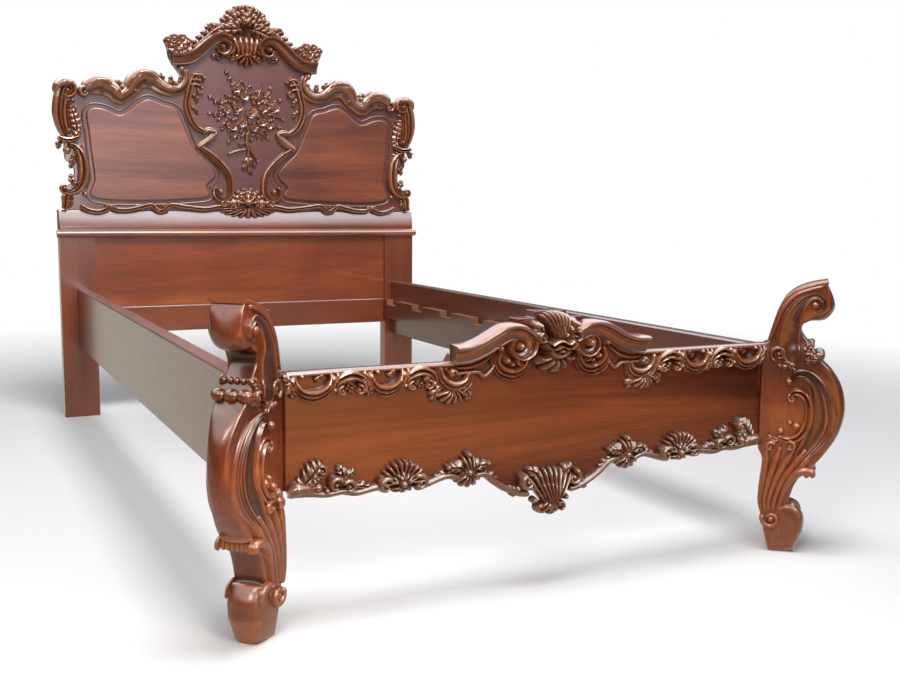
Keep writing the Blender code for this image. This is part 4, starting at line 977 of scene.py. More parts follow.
class BED_OT_waves(bpy.types.Operator):
    """The wavy top mouldings and the scrolls down the headboard's sides"""

    bl_idname = "bed.waves"
    bl_label = "Waves And Side Scrolls"

    def execute(self, context):
        rise = context.scene.bed_sizes.wave_rise / MM
        half = (24, 32, 35, 30, 25, 30, 35, 33, 26, 21, 18, 14, 10)
        high = rise * np.array((0.8, 0.92, 1.15, 0.86, 1.08, 0.84, 0.74, 0.96, 1.2, 0.98, 0.76, 0.86, 0.92,
                                0.8, 0.75, 0.7, 0.65))
        shapes = [
            moulding(WAVE + ((-208, 462), (-218, 474)), half, high, WAVE_ROLL),
            bead(-222, 472, 13, 27),
            moulding([(-518, 404), (-496, 419), (-470, 420), (-446, 404)], (7, 14, 14, 6), (30, 38, 37, 28),
                     ROUND, 2.0),
            moulding([(-382, 430), (-360, 450), (-334, 453), (-306, 440)], (7, 15, 14, 6), (30, 39, 38, 28),
                     ROUND, 2.0),
            coil(-536, 380, 17, 27, 1.2, 5.5, 8, 7),
            leaf([(-462, 398), (-440, 408), (-424, 426)], 13, 30, 3, 0.5),
            leaf([(-404, 396), (-418, 408), (-424, 424)], 9, 26, 2, 0.5),
            leaf([(-318, 440), (-296, 444), (-276, 436)], 12, 30, 3, 0.5),
            bead(-420, 403, 7, 12, lift=18),
            bead(-375, 393, 6, 12, lift=12),
            leaf([(-236, 418), (-254, 430), (-258, 450)], 10, 22, 3, 0.4),
            leaf([(-240, 418), (-226, 432), (-226, 450)], 9, 20, 3, 0.4),
        ]
        carve("head_wave", shapes, HEAD)

        upper = volute(SIDE_UPPER, (-590, 384), -4.4, 0.45)
        lower = [(-594, 212), (-572, 204), (-554, 178), (-547, 138), (-550, 98), (-564, 70), (-588, 57),
                 (-610, 60)]
        shapes = [
            moulding(upper, (9, 16, 20, 20, 18, 14, 9), (18, 24, 28, 29, 26, 22, 18), RIDGES),
            bead(-589, 383, 8, 28),
            moulding([(-627, 372), (-616, 398), (-596, 408), (-572, 402)], (9, 15, 16, 9), (24, 36, 37, 26),
                     ROUND, 2.0),
            moulding([(-586, 244), (-592, 280), (-594, 320), (-590, 352)], (9, 14, 13, 7), 22, RIDGES, 2.0),
            leaf([(-566, 240), (-564, 270), (-572, 304), (-584, 344)], 17, 21, 6, 0.4),
            bead(-574, 352, 8, 22), bead(-566, 330, 6, 19), bead(-560, 308, 5, 17), bead(-588, 256, 8, 25),
            moulding([(-624, 234), (-604, 226), (-580, 226), (-556, 236)], (8, 10, 7), 26, TWIN),
            leaf([(-582, 224), (-566, 240), (-550, 264)], 13, 21, 3),
            leaf([(-606, 228), (-620, 212), (-622, 194)], 11, 20, 3),
            leaf([(-580, 216), (-562, 204), (-546, 188)], 13, 21, 3),
            moulding(volute(lower, (-606, 70), -3.6, 0.5), (8, 15, 19, 20, 18, 14, 10, 6),
                     (18, 25, 27, 25, 22, 18), RIDGES, frill=(-1, 9, .25)),
            moulding([(-566, 196), (-557, 160), (-556, 118), (-564, 84)], (5, 9, 9, 5), (24, 30, 30, 24),
                     ROUND, 2.0),
            bead(-607, 70, 8, 22),
            bead(-596, 192, 13, 24),
            bead(-544, 52, 9, 18),
            leaf([(-570, 184), (-580, 156), (-588, 132)], 12, 19, 3),
            leaf([(-572, 78), (-584, 98), (-588, 118)], 11, 19, 3),
            moulding([(-592, 56), (-604, 42), (-606, 20), (-610, 2)], (9, 13, 11, 8), 20, TWIN, ends=(1, 0)),
            leaf([(-588, 48), (-590, 26), (-598, 4)], 11, 17, 3),
        ]
        carve("head_side_scroll", shapes, HEAD)
        return {"FINISHED"}


class BED_OT_pediment(bpy.types.Operator):
    """The broken pediment: cornices, rosettes, keystone and crest"""

    bl_idname = "bed.pediment"
    bl_label = "Pediment"

    def execute(self, context):
        rise = context.scene.bed_sizes.cornice_rise / MM
        shapes = [
            moulding(volute(PEDIMENT, (-82, 554), -3.7, 0.45), (21, 21, 21, 20, 18, 13, 9, 6),
                     (rise, rise, rise, rise * .9, rise * .8), CORNICE, ends=(0, 1)),
            bead(-82, 553, 11, rise * 0.95),
            leaf([(-120, 524), (-98, 520), (-72, 528)], 12, 20, 3),
            leaf([(-92, 532), (-66, 530), (-44, 544)], 12, 24, 3),
        ]
        carve("head_pediment", shapes, HEAD, kind="cornice")

        shapes = [bead(-230, 548, 38, 10, 1.05)]
        blooms = ((0, 2), (-24, -6), (22, -8), (-14, 18), (14, 18), (-34, 10), (33, 8), (0, -18))
        for k, (x, z) in enumerate(blooms):
            shapes.append(flower(-230 + x, 552 + z, 17 + 2 * math.sin(2.1 * k), 15, 0.8 * k, 0.95,
                                 10 - 0.2 * abs(x), 0.4))
        carve("head_rosette", shapes, HEAD, kind="cornice")

        shapes = [
            fan(0, 536, 46, 34, math.pi + 0.25, TURN - 0.25, 5, 0.95, 0.2, 0.2),
            bead(0, 530, 10, 36, 1.3),
        ]
        for k in (-2, -1, 0, 1, 2):
            line = [(k * 20, 596), (k * 19, 574), (k * 15 + 2, 552), (k * 13, 530)]
            shapes.append(moulding(line, (8, 11, 10, 6), (16, 24, 25, 20), ROUND, 2.0, lift=3 - 3 * abs(k)))
        for side in (-1, 1):
            shapes += [leaf([(side * 20, 530), (side * 44, 520), (side * 70, 530)], 13, 24, 3),
                       coil(side * 46, 546, 12, 26, math.pi / 2, side * -5.4, 6, 6)]
        carve("head_keystone", shapes, HEAD, False, "cornice")

        shapes = [fan(0, 596, 88, 9, 0.12, math.pi - 0.12, 13, 1.1, 0.2, 0.1)]
        for count, ring, far, floor, edge in ((9, 62, 33, 2, 0.08), (6, 43, 34, 10, 0.24),
                                              (4, 25, 30, 17, 0.5)):
            for k, angle in enumerate(np.linspace(edge, math.pi - edge, count)):
                tilt = angle + 0.3 * math.sin(3.7 * k + count)
                reach = far * (1 + 0.08 * math.sin(5.3 * k + count))
                x, z = ring * math.cos(angle), 602 + 1.16 * ring * math.sin(angle)
                shapes.append(fan(x, z, reach, 17, tilt - 1.15, tilt + 1.15, 3, 0.96, 0.45, 0.14, floor))
        shapes += [bead(-24, 612, 9, 32), bead(24, 612, 9, 32), bead(-8, 634, 7, 30), bead(12, 630, 6, 30)]
        for x, z in ((-70, 600), (-44, 592), (44, 592), (70, 600)):
            shapes.append(leaf([(x * 0.7, z + 14), (x * 0.9, z), (x * 1.1, z - 12)], 12, 26, 3))
        for side in (-1, 1):
            stalk = ((80, 622), (108, 608), (142, 578), (184, 544))
            shapes.append(moulding([(side * x, z) for x, z in stalk], (7, 7, 6), 15))
            for x, z, r in ((104, 618, 20), (124, 610, 17), (140, 592, 16), (158, 576, 15), (176, 560, 14)):
                shapes += [leaf([(side * (x - r), z - 10), (side * x, z + 2), (side * (x + r * .9), z + 8)],
                                r * .62, 22, 2),
                           leaf([(side * (x - 4), z - r), (side * (x - 6), z), (side * (x + 4), z + r * .8)],
                                r * .5, 20, 2)]
            shapes.append(coil(side * 118, 622, 10, 20, -math.pi / 2, side * 5.2, 6, 5))
        carve("head_crest", shapes, HEAD, False, "cornice")
        return {"FINISHED"}


class BED_OT_cartouche(bpy.types.Operator):
    """The middle panel: its scrolled frame, bouquet, shell and the border over the band"""

    bl_idname = "bed.cartouche"
    bl_label = "Middle Panel"

    def execute(self, context):
        foot = volute(CARTOUCHE_FOOT, (-94, 66), -4.4, 0.5)
        shapes = [
            moulding(CARTOUCHE, (7, 11, 12, 12, 12, 12, 11, 9), (16, 20, 20, 20, 18), TWIN),
            moulding([(-188, 454), (-168, 458), (-148, 453)], (6, 7, 5), 22),
            moulding([(-192, 438), (-172, 440), (-152, 435)], (5, 6, 5), 22),
            moulding([(-194, 422), (-176, 424), (-158, 419)], (5, 6, 5), 20),
            coil(-162, 405, 12, 22, 1.4, -5.6, 6, 6),
            bead(-146, 446, 7, 26), leaf([(-186, 392), (-174, 380), (-170, 362)], 9, 18, 3),
            leaf([(-190, 350), (-176, 340), (-168, 322)], 8, 15, 3),
            moulding([(-152, 268), (-130, 272), (-102, 266)], (9, 11, 6), 22, STRAP),
            moulding([(-104, 268), (-124, 248), (-146, 230), (-176, 212)], (6, 12, 12, 8), 22, STRAP),
            moulding(foot, (9, 13, 14, 13, 11, 7), (18, 21, 21, 19, 16), RIDGES),
            bead(-95, 66, 10, 22),
        ]
        carve("head_cartouche", shapes, HEAD)

        shapes = []
        for k in range(66):
            turn = 2.39996 * k
            far = 0.18 + 0.82 * math.sqrt((k + 0.5) / 66)
            x, z = 6 + 104 * far * math.cos(turn), 338 + 90 * far * math.sin(turn)
            heading = turn + 0.75 * math.sin(4.7 * k)
            long = 15 + 6 * math.sin(2.9 * k)
            a, b = long * math.cos(heading), long * math.sin(heading)
            line = [(x - a, z - b), (x - 0.12 * b, z + 0.12 * a), (x + a, z + b)]
            shapes.append(leaf(line, 6.5, 15 - 4 * far, 2, 0.7, 5 * (1 - far)))
        for x, z, r in ((-35, 416, 15), (-6, 392, 16), (103, 356, 16), (-16, 300, 16), (54, 306, 15),
                        (-48, 286, 14), (80, 294, 12), (16, 338, 21), (-70, 345, 14), (60, 352, 15),
                        (24, 284, 12), (-30, 352, 16), (-92, 372, 10), (-48, 258, 10)):
            shapes.append(flower(x, z, r, 14, 0.4 + x * 0.07, 0.96, 8, 0.22))
        for line, count, size in (
                (((-36, 420), (-52, 444), (-66, 470)), 3, 17), (((-6, 396), (-2, 420), (-14, 442)), 2, 15),
                (((60, 370), (78, 396), (88, 424)), 3, 15), (((-74, 350), (-100, 366), (-124, 384)), 3, 17),
                (((80, 350), (102, 366), (120, 384)), 3, 15), (((-50, 290), (-80, 284), (-106, 270)), 3, 16),
                (((60, 300), (88, 296), (116, 290)), 3, 16), (((-80, 330), (-104, 326), (-126, 330)), 3, 15),
                (((90, 330), (110, 326), (128, 320)), 2, 14), (((-36, 280), (-50, 256), (-62, 236)), 2, 14),
                (((40, 280), (58, 262), (74, 252)), 2, 14), (((20, 380), (24, 408), (16, 430)), 2, 14)):
            shapes.append(frond(line, count, size, size * 0.34, 13))
        shapes += [
            leaf([(40, 366), (48, 400), (60, 444)], 9, 17, 1, 0.6),
            leaf([(66, 380), (80, 404), (94, 426)], 7, 15, 1, 0.6),
            moulding([(-68, 194), (-36, 206), (-2, 213)], (4, 5, 4), 13),
            moulding([(2, 270), (-2, 240), (4, 212), (2, 186)], (5, 5, 4), 13),
            moulding([(0, 236), (12, 208), (24, 190), (38, 172)], (5, 6, 5), 13, TWIN), bead(38, 172, 6, 13),
            moulding([(12, 262), (2, 240), (-18, 226), (-34, 232)], (4, 5, 4), 11, TWIN),
            leaf([(2, 186), (-6, 160), (-16, 136)], 11, 17, 2),
            leaf([(4, 186), (8, 158), (14, 122)], 12, 19, 2),
            leaf([(4, 184), (22, 166), (30, 146)], 9, 16, 2),
        ]
        carve("head_bouquet", shapes, HEAD, False)

        shapes = [
            fan(0, 12, 108, 20, math.pi + 0.04, TURN - 0.04, 11, 0.38),
            fan(0, 14, 70, 24, math.pi + 0.1, TURN - 0.1, 7, 0.40),
            fan(0, 20, 50, 24, 0.1, math.pi - 0.1, 5, 0.84, 0.2),
            bead(0, 30, 16, 34, 1.2),
        ]
        for turn in np.linspace(0.12, math.pi - 0.12, 8):
            ring = [(r * math.cos(turn), 22 + 0.86 * r * math.sin(turn)) for r in (22, 46, 70)]
            shapes += [leaf(ring, 12, 24, 3, 0.4),
                       bead(34 * math.cos(turn), 24 + 26 * math.sin(turn), 6, 27, sides=10)]
        for side in (-1, 1):
            shapes += [leaf([(side * 26, 10), (side * 62, 26), (side * 98, 14)], 16, 24, 4),
                       bead(side * 44, 12, 8, 26),
                       bead(side * 62, 26, 8, 24),
                       coil(side * 84, 22, 11, 22, math.pi / 2, side * -5.4, 6, 6)]
        carve("head_shell", shapes, HEAD, False)

        shapes = [
            moulding(BORDER, 9.5, 16, TWIN),
            coil(-476, 10, 10, 18, -0.6, 5.6, 5, 4), coil(-452, 10, 10, 18, math.pi + 0.6, -5.6, 5, 4),
            fan(-464, 4, 17, 17, 0.3, math.pi - 0.3, 5),
            leaf([(-298, 10), (-306, -2), (-322, -6)], 10, 17, 3),
            leaf([(-298, 10), (-288, -2), (-274, -4)], 10, 17, 3),
            fan(-298, 4, 17, 18, 0.2, math.pi - 0.2, 5), bead(-298, 3, 6, 20),
        ]
        carve("head_border", shapes, HEAD)
        return {"FINISHED"}


class BED_OT_foot_crest(bpy.types.Operator):
    """The footboard's cornices and the shell between them"""

    bl_idname = "bed.foot_crest"
    bl_label = "Footboard Crest"

    def execute(self, context):
        shapes = [
            moulding(volute(FOOT_CORNICE, (-74, 236), -4.8, 0.5), (18, 18, 18, 18, 16, 12, 8, 5),
                     (34, 34, 34, 32, 30, 28), CORNICE, 1.8, ends=(0, 1)),
            bead(-75, 236, 10, 34),
            moulding([(-112, 228), (-119, 208), (-107, 191), (-84, 184), (-64, 191), (-54, 208), (-58, 222)],
                     (5, 9, 12, 13, 11, 8, 5), (16, 20, 20, 18), RIDGES, 1.6),
            coil(-70, 206, 9, 22, 0.6, 5.2, 4.5, 4), bead(-98, 210, 8, 24), bead(-86, 202, 6, 20),
            bead(-114, 234, 7, 28),
            moulding([(-200, 205), (-172, 206), (-146, 214), (-122, 230)], (5, 8, 8, 5), 15, TWIN),
            moulding([(-196, 192), (-156, 192), (-142, 184), (-128, 194), (-120, 206)], (4, 5, 6, 4), 12,
                     ROUND, 1.6),
        ]
        carve("foot_cornice", shapes, FOOT, kind="cornice")

        shapes = [
            fan(0, 234, 63, 44, math.pi / 2 - 0.52, math.pi / 2 + 0.52, 7, 1.0, 0.25, 0.2),
            fan(0, 236, 40, 48, math.pi / 2 - 0.42, math.pi / 2 + 0.42, 3, 1.0, 0.25, 0.2),
            moulding([(-32, 244), (-18, 233), (0, 239), (18, 233), (32, 244)], (6, 9, 10, 9, 6), 50, TWIN,
                     1.5),
            moulding([(-22, 226), (-10, 219), (0, 216), (10, 219), (22, 226)], (6, 8, 9, 8, 6), 44, ROUND,
                     1.5),
            fan(0, 220, 46, 34, math.pi + 0.2, TURN - 0.2, 5, 0.84),
            leaf([(0, 224), (0, 204), (0, 180)], 14, 38, 3), bead(0, 226, 7, 52),
        ]
        for side in (-1, 1):
            shapes += [coil(side * 35, 250, 11, 44, math.pi / 2, side * -5.4, 5, 5),
                       bead(side * 40, 272, 8, 42),
                       leaf([(side * 18, 242), (side * 34, 262), (side * 44, 284)], 10, 44, 3),
                       bead(side * 46, 226, 7, 30), bead(side * 32, 210, 7, 34)]
        carve("foot_crest", shapes, FOOT, False)
        return {"FINISHED"}


class BED_OT_foot_scrolls(bpy.types.Operator):
    """The row of scrolls along the footboard's top"""

    bl_idname = "bed.foot_scrolls"
    bl_label = "Footboard Scrolls"

    def execute(self, context):
        shapes = []
        for x, wide in ((-463, 33), (-331, 30)):
            line = [(x - wide, 210), (x - .98 * wide, 193), (x - .62 * wide, 177), (x, 171),
                    (x + .62 * wide, 177), (x + .98 * wide, 193), (x + wide, 210)]
            shapes += [moulding(line, (4, 7, 10, 12, 10, 7, 4), (12, 17, 19, 19, 17, 12), RIDGES, 1.6),
                       leaf([(x - wide + 4, 180), (x - wide - 6, 196), (x - wide - 17, 206)], 11, 21, 3),
                       leaf([(x + wide - 4, 180), (x + wide + 6, 196), (x + wide + 17, 206)], 11, 21, 3),
                       leaf([(x + wide - 10, 204), (x + .35 * wide, 202), (x + .1 * wide, 192)], 6, 15, 2),
                       bead(x - wide + 13, 204, 5, 16), bead(x + wide + 4, 178, 6, 18)]
        for x, wide in ((-397, 30), (-268, 31)):
            line = [(x - wide, 178), (x - .72 * wide, 194), (x, 202), (x + .72 * wide, 194), (x + wide, 178)]
            shapes += [moulding(line, (4, 8, 10, 8, 4), (15, 20, 21, 20, 15), TWIN, 1.6),
                       coil(x - .5 * wide, 176, 9, 19, 1.2, 5.2, 4, 5),
                       coil(x + .5 * wide, 176, 9, 19, 1.9, -5.2, 4, 5),
                       leaf([(x - 8, 184), (x, 178), (x + 9, 170)], 8, 15, 3)]
        shapes += [
            moulding([(-232, 206), (-228, 186), (-214, 172), (-196, 168), (-178, 176), (-170, 196)],
                     (5, 9, 13, 14, 11, 5), (14, 18, 19, 18, 14), RIDGES, 1.6),
            fan(-206, 168, 36, 20, math.pi + .25, TURN - .35, 6, 0.9),
            leaf([(-226, 172), (-240, 160), (-244, 144)], 10, 18, 3),
            leaf([(-184, 166), (-174, 154), (-176, 140)], 9, 18, 3),
            coil(-206, 192, 8, 20, -0.4, 5.2, 4, 5),
            leaf([(-238, 200), (-250, 186), (-248, 170)], 10, 18, 3), bead(-242, 178, 8, 18),
            leaf([(-502, 204), (-502, 184), (-492, 168)], 11, 18, 3),
            leaf([(-364, 204), (-366, 184), (-360, 162)], 13, 19, 4), bead(-362, 198, 7, 22),
            moulding([(-508, 207), (-420, 208), (-330, 208), (-200, 208)], 5, 10, ROUND, 4.0, (0, 0)),
        ]
        carve("foot_scrolls", shapes, FOOT, kind="carved")
        return {"FINISHED"}


class BED_OT_apron(bpy.types.Operator):
    """The carving along the footboard's lower edge"""

    bl_idname = "bed.apron"
    bl_label = "Apron"

    def execute(self, context):
        half = context.scene.bed_sizes.bead / MM
        line = smooth_line(APRON, 4.0)
        corner_edge = [p for p in line if p[0] < -330]
        leaf_edge = [p for p in line if -278 < p[0] < -40]
        shapes = [
            moulding(corner_edge, half, 13, ROUND, 3.0, (0, 1)),
            moulding([(-507, 6), (-492, 14), (-474, 12), (-462, 2)], (9, 13, 11, 6), (18, 22, 20, 14), ROUND,
                     2.0, (0, 1)),
            leaf([(-490, 16), (-474, 28), (-460, 44), (-446, 58)], 19, 22, 5, 0.5),
            leaf([(-484, 10), (-464, 18), (-450, 32)], 14, 21, 4, 0.5),
            coil(-450, 43, 9, 20, 2.4, -5.2, 4.5, 5),
            bead(-456, 14, 10, 20), bead(-440, 6, 7, 18),
            coil(-424, 15, 13, 20, 0.2, 5.4, 6, 6), coil(-400, 10, 12, 20, 2.9, -5.4, 6, 6),
            leaf([(-414, 18), (-412, 34), (-420, 48)], 10, 17, 3),
            leaf([(-406, 16), (-398, 30), (-386, 38)], 9, 16, 3),
            leaf([(-396, 8), (-376, 8), (-356, 3)], 9, 17, 3),
        ]
        carve("foot_apron_corner", shapes, FOOT)

        shapes = [
            fan(-300, 2, 46, 24, 0.02, math.pi - 0.02, 12, 0.95, 0.8, 0.22),
            fan(-300, 2, 28, 20, 0.1, math.pi - 0.1, 7, 0.9, 0.3),
            leaf([(-300, -4), (-300, 12), (-300, 30)], 9, 24, 3), bead(-300, 4, 9, 24), bead(-314, 8, 6, 20),
            bead(-286, 8, 6, 20),
            coil(-332, 4, 14, 22, 0.6, 5.4, 7, 7), coil(-268, 4, 14, 22, 2.5, -5.4, 7, 7),
            fan(-300, 2, 30, 18, math.pi + .2, TURN - .2, 5, 0.5),
        ]
        carve("foot_apron_shell", shapes, FOOT)

        shapes = [
            moulding(leaf_edge, half, 13, ROUND, 3.0, (1, 1)),
            fan(-172, 6, 34, 22, math.pi / 2 - 0.5, math.pi / 2 + 0.5, 3, 1.1),
            leaf([(-172, 8), (-192, 22), (-212, 22)], 13, 22, 3, 0.5),
            leaf([(-172, 8), (-152, 22), (-132, 22)], 13, 22, 3, 0.5),
            fan(-172, 14, 32, 20, math.pi + .4, TURN - .4, 5, 1.0),
            bead(-172, 44, 7, 20), bead(-212, 24, 6, 18), bead(-132, 24, 6, 18), bead(-172, 12, 9, 24),
            leaf([(-200, 8), (-220, 10), (-242, 6)], 9, 15, 3),
            leaf([(-144, 6), (-126, 0), (-108, -12)], 9, 15, 3),
        ]
        carve("foot_apron_leaf", shapes, FOOT)

        shapes = [
            fan(0, -82, 86, 24, math.pi / 2 - 0.66, math.pi / 2 + 0.66, 9, 1.0, 0.15, 0.12),
            fan(0, -78, 62, 30, math.pi / 2 - 0.42, math.pi / 2 + 0.42, 5, 1.0, 0.15, 0.12),
            fan(0, -52, 40, 22, math.pi + .5, TURN - .5, 5, 0.9),
            leaf([(0, -50), (0, -70), (0, -88)], 13, 28, 3, 0.5),
        ]
        for side in (-1, 1):
            shapes += [coil(side * 50, -20, 14, 24, math.pi / 2, side * -5.4, 7, 7),
                       leaf([(side * 20, -20), (side * 36, -2), (side * 52, 4)], 11, 24, 3),
                       coil(side * 20, -70, 9, 22, -math.pi / 2, side * 5.4, 4.5, 5),
                       bead(side * 34, -56, 7, 20),
                       leaf([(side * 54, -34), (side * 74, -36), (side * 92, -24)], 10, 16, 3)]
        carve("foot_apron_middle", shapes, FOOT, False)
        return {"FINISHED"}


class BED_OT_legs(bpy.types.Operator):
    """The scrolled corner legs"""

    bl_idname = "bed.legs"
    bl_label = "Corner Legs"

    def execute(self, context):
        outer, outer_faces = gathered(self.side_carving())
        inner, inner_faces = gathered(self.side_carving() + self.inner_carving())
        outer[:, 2] = LEG_HALF + outer[:, 2] * 0.5
        inner[:, 2] = -LEG_HALF - inner[:, 2]
        groups = [self.body(), (outer, outer_faces.tolist()), (inner, inner_faces[:, ::-1].tolist())]
        groups += self.balls() + [self.lip()]
        points, faces, start = [], [], 0
        for spots, found in groups:
            points.append(spots)
            faces += [[corner + start for corner in face] for face in found]
            start += len(spots)
        points = on_leg(self.tapered(np.concatenate(points)))
        for side, way in (("left", 1), ("right", -1)):
            carved_piece("foot_leg_carved_" + side, points * np.array([way, 1.0, 1.0]),
                         [face[::way] for face in faces], carved_mahogany("leg"), "foot_leg_" + side)
        return {"FINISHED"}

    def body(self):
        """The sawn leg: its edges rounded, and its sides drawn in at the knee, the top and the toe."""
        runs = [smooth_line(line, 5.0) for line in (LEG_FRONT, LEG_BACK, LEG_HEEL)]
        outline = np.concatenate([[(29, 0), (80, 0)]] + runs)
        u, z = outline.T
        way = unit(np.roll(outline, -1, axis=0) - np.roll(outline, 1, axis=0))
        outward = np.stack([way[:, 1], -way[:, 0]], axis=1)
        knee = np.exp(-((z - 300) / 95) ** 4) * np.clip((u - 70) / 40, 0, 1)
        top = np.clip((z - 470) / 20, 0, 1) * np.clip((u - 84) / 16, 0, 1) * np.clip((552 - z) / 26, 0, 1)
        toe = np.clip((108 - z) / 14, 0, 1) * np.clip((u - 50) / 20, 0, 1)
        bulge = 9 * knee + 10 * top + 9 * toe
        rows = []
        for level in LEG_LEVELS:
            v = LEG_HALF * level
            deep = max(abs(v) - (LEG_HALF - LEG_ROUND), 0)
            inset = LEG_ROUND - math.sqrt(max(LEG_ROUND ** 2 - deep ** 2, 0)) + bulge * abs(level) ** 2.4
            pinch = 4.0 * np.clip(1 - z / 40, 0, 1) * level
            rows.append(np.column_stack([outline - outward * inset[:, None], v - pinch]))
        count = len(outline)
        last = count * (len(LEG_LEVELS) - 1)
        faces = [list(range(count))[::-1], list(range(last, last + count))]
        for row in range(0, last, count):
            for n in range(count):
                m = (n + 1) % count
                faces.append([row + n, row + m, row + count + m, row + count + n])
        return np.concatenate(rows), faces

    def side_carving(self):
        shapes = [
            moulding([(66, 400), (54, 436), (56, 474), (65, 506), (81, 529), (101, 539), (116, 528),
                      (114, 513), (102, 509)],
                     (14, 21, 21, 17, 12, 7, 5, 3), (9, 10, 10, 10, 10), DISH, 2.0),
            moulding([(18, 452), (27, 484), (41, 516), (64, 541), (92, 553), (114, 559)], (3, 5, 5, 5, 4),
                     (6, 8, 8, 7), ROUND, 2.0),
            bead(100, 521, 9, 13), coil(92, 413, 9, 11, 2.6, -5.4, 5, 5),
            moulding([(60, 366), (74, 378), (92, 376), (108, 360), (119, 334), (125, 300), (122, 266),
                      (109, 238), (92, 214), (78, 194)],
                     (7, 10, 15, 21, 27, 31, 29, 24, 17, 9), (11, 13, 13, 13, 13, 12, 9), KNEE, 2.0),
            moulding([(58, 332), (70, 341), (85, 337), (96, 319), (99, 294), (94, 270), (81, 250), (64, 241),
                      (44, 243)],
                     (6, 9, 10, 10, 10, 9, 8, 5), (12, 15, 16, 15, 12), TWIN, 2.0),
            bead(56, 362, 9, 15), bead(75, 270, 10, 14), bead(62, 277, 7, 12), bead(44, 258, 8, 11),
            coil(64, 328, 9, 13, 1.8, 5.2, 5, 5),
            leaf([(84, 424), (92, 436), (102, 444)], 9, 13, 3),
            leaf([(84, 404), (100, 410), (116, 410)], 10, 13, 3),
            coil(26, 224, 10, 13, 0.4, 5.2, 6, 5), coil(64, 228, 11, 14, 2.2, -5.2, 6, 6),
            leaf([(50, 246), (34, 240), (16, 246)], 10, 12, 3),
            moulding([(56, 142), (74, 166), (92, 178), (108, 176), (112, 164)], (4, 8, 10, 9, 5),
                     (9, 13, 15, 15, 12), ROUND, 2.0),
            coil(32, 70, 18, 11, 2.6, 6.6, 6, 8),
            moulding([(46, 90), (62, 98), (80, 92), (89, 76)], (4, 6, 6, 4), (8, 10, 9, 6), ROUND, 2.0),
        ]
        for line in (((114, 226), (90, 190), (69, 160), (56, 132), (50, 108), (46, 90)),
                     ((96, 224), (74, 190), (55, 160), (44, 132), (38, 108), (36, 90)),
                     ((74, 224), (55, 190), (41, 160), (32, 132), (27, 108), (27, 90)),
                     ((46, 226), (35, 190), (27, 160), (21, 132), (18, 108), (20, 88)),
                     ((18, 228), (17, 190), (14, 160), (11, 132), (9, 108), (13, 84))):
            shapes.append(moulding(line, (4, 8, 7.5, 7, 5.5, 4), (7, 11, 11, 10, 8, 6), ROUND, 2.5))
        return shapes

    def inner_carving(self):
        return [coil(34, 418, 17, 11, -1.9, -6.4, 5, 6), bead(46, 392, 8, 10), bead(36, 394, 6, 9),
                leaf([(44, 402), (58, 394), (66, 380)], 9, 11, 3)]

    def balls(self):
        """The beads round a leg's neck and ankle: reach, height, place across, radius, tallness and width."""
        specs = [(112, 417, v, 12, 1.0, 1.2) for v in (-24, 0, 24)]
        specs += [(96, 439, v, 6, 1.0, 1.1) for v in (-27, -13, 0, 13, 27)]
        specs += [(99, 174, v, 8, 1.6, 0.72) for v in (-27, -18, -9, 0, 9, 18, 27)]
        specs += [(107, 187, 0, 9, 0.9, 3.5)]
        fall = np.linspace(0, math.pi, 8)[:, None]
        turn = np.linspace(0, TURN, 13)[None, :]
        made = []
        for u, z, v, radius, tall, wide in specs:
            x = u + radius * np.sin(fall) * np.cos(turn)
            y = z + tall * radius * np.sin(fall) * np.sin(turn)
            across = np.broadcast_to(v + wide * radius * np.cos(fall), x.shape)
            points, faces = sheet(np.dstack([x, y]), across)
            made.append((points, faces.tolist()))
        return made

    def lip(self):
        """The thin plate that curls over the top of a leg's scroll."""
        path = smooth_line([(12, 446), (21, 474), (32, 506), (46, 532), (67, 550), (95, 561), (123, 568)],
                           3.0)
        around = np.linspace(0, TURN, 25)
        across = 34.0 * np.sign(np.cos(around)) * np.abs(np.cos(around)) ** 0.25
        lift = np.sign(np.sin(around)) * np.abs(np.sin(around)) ** 0.6
        thick = spread((2, 3.5, 4.5, 5.5, 6, 6, 4.5), np.linspace(0, 1, len(path)))
        spots = path[:, None] + left_of(path)[:, None] * (thick[:, None] * lift)[..., None]
        ends = np.broadcast_to(path[[0, -1], None], (2,) + spots.shape[1:])
        spots = np.concatenate([ends[:1], spots, ends[1:]])
        levels = np.tile(across, (len(spots), 1))
        levels[[0, -1]] = 0.0
        points, faces = sheet(spots, levels)
        return points, faces.tolist()

    def tapered(self, points):
        """Narrows the knee towards its front."""
        u, z, v = points.T
        part = np.exp(-((z - 300) / 105) ** 4) * np.clip((u - 90) / 72, 0, 1)
        neck = np.exp(-((z - 455) / 24) ** 4) * np.clip((u - 40) / 40, 0, 1)
        return np.column_stack([u, z, v * (1 - 0.34 * part) * (1 - 0.17 * neck)])


class BED_OT_hardware(bpy.types.Operator):
    """Hook plates and keepers of the rails"""

    bl_idname = "bed.hardware"
    bl_label = "Rail Hardware"

    def execute(self, context):
        for name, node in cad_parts.items():
            if name.startswith(("rail_hook", "rail_keeper")):
                node.data.materials.clear()
                node.data.materials.append(dull_steel())
        return {"FINISHED"}


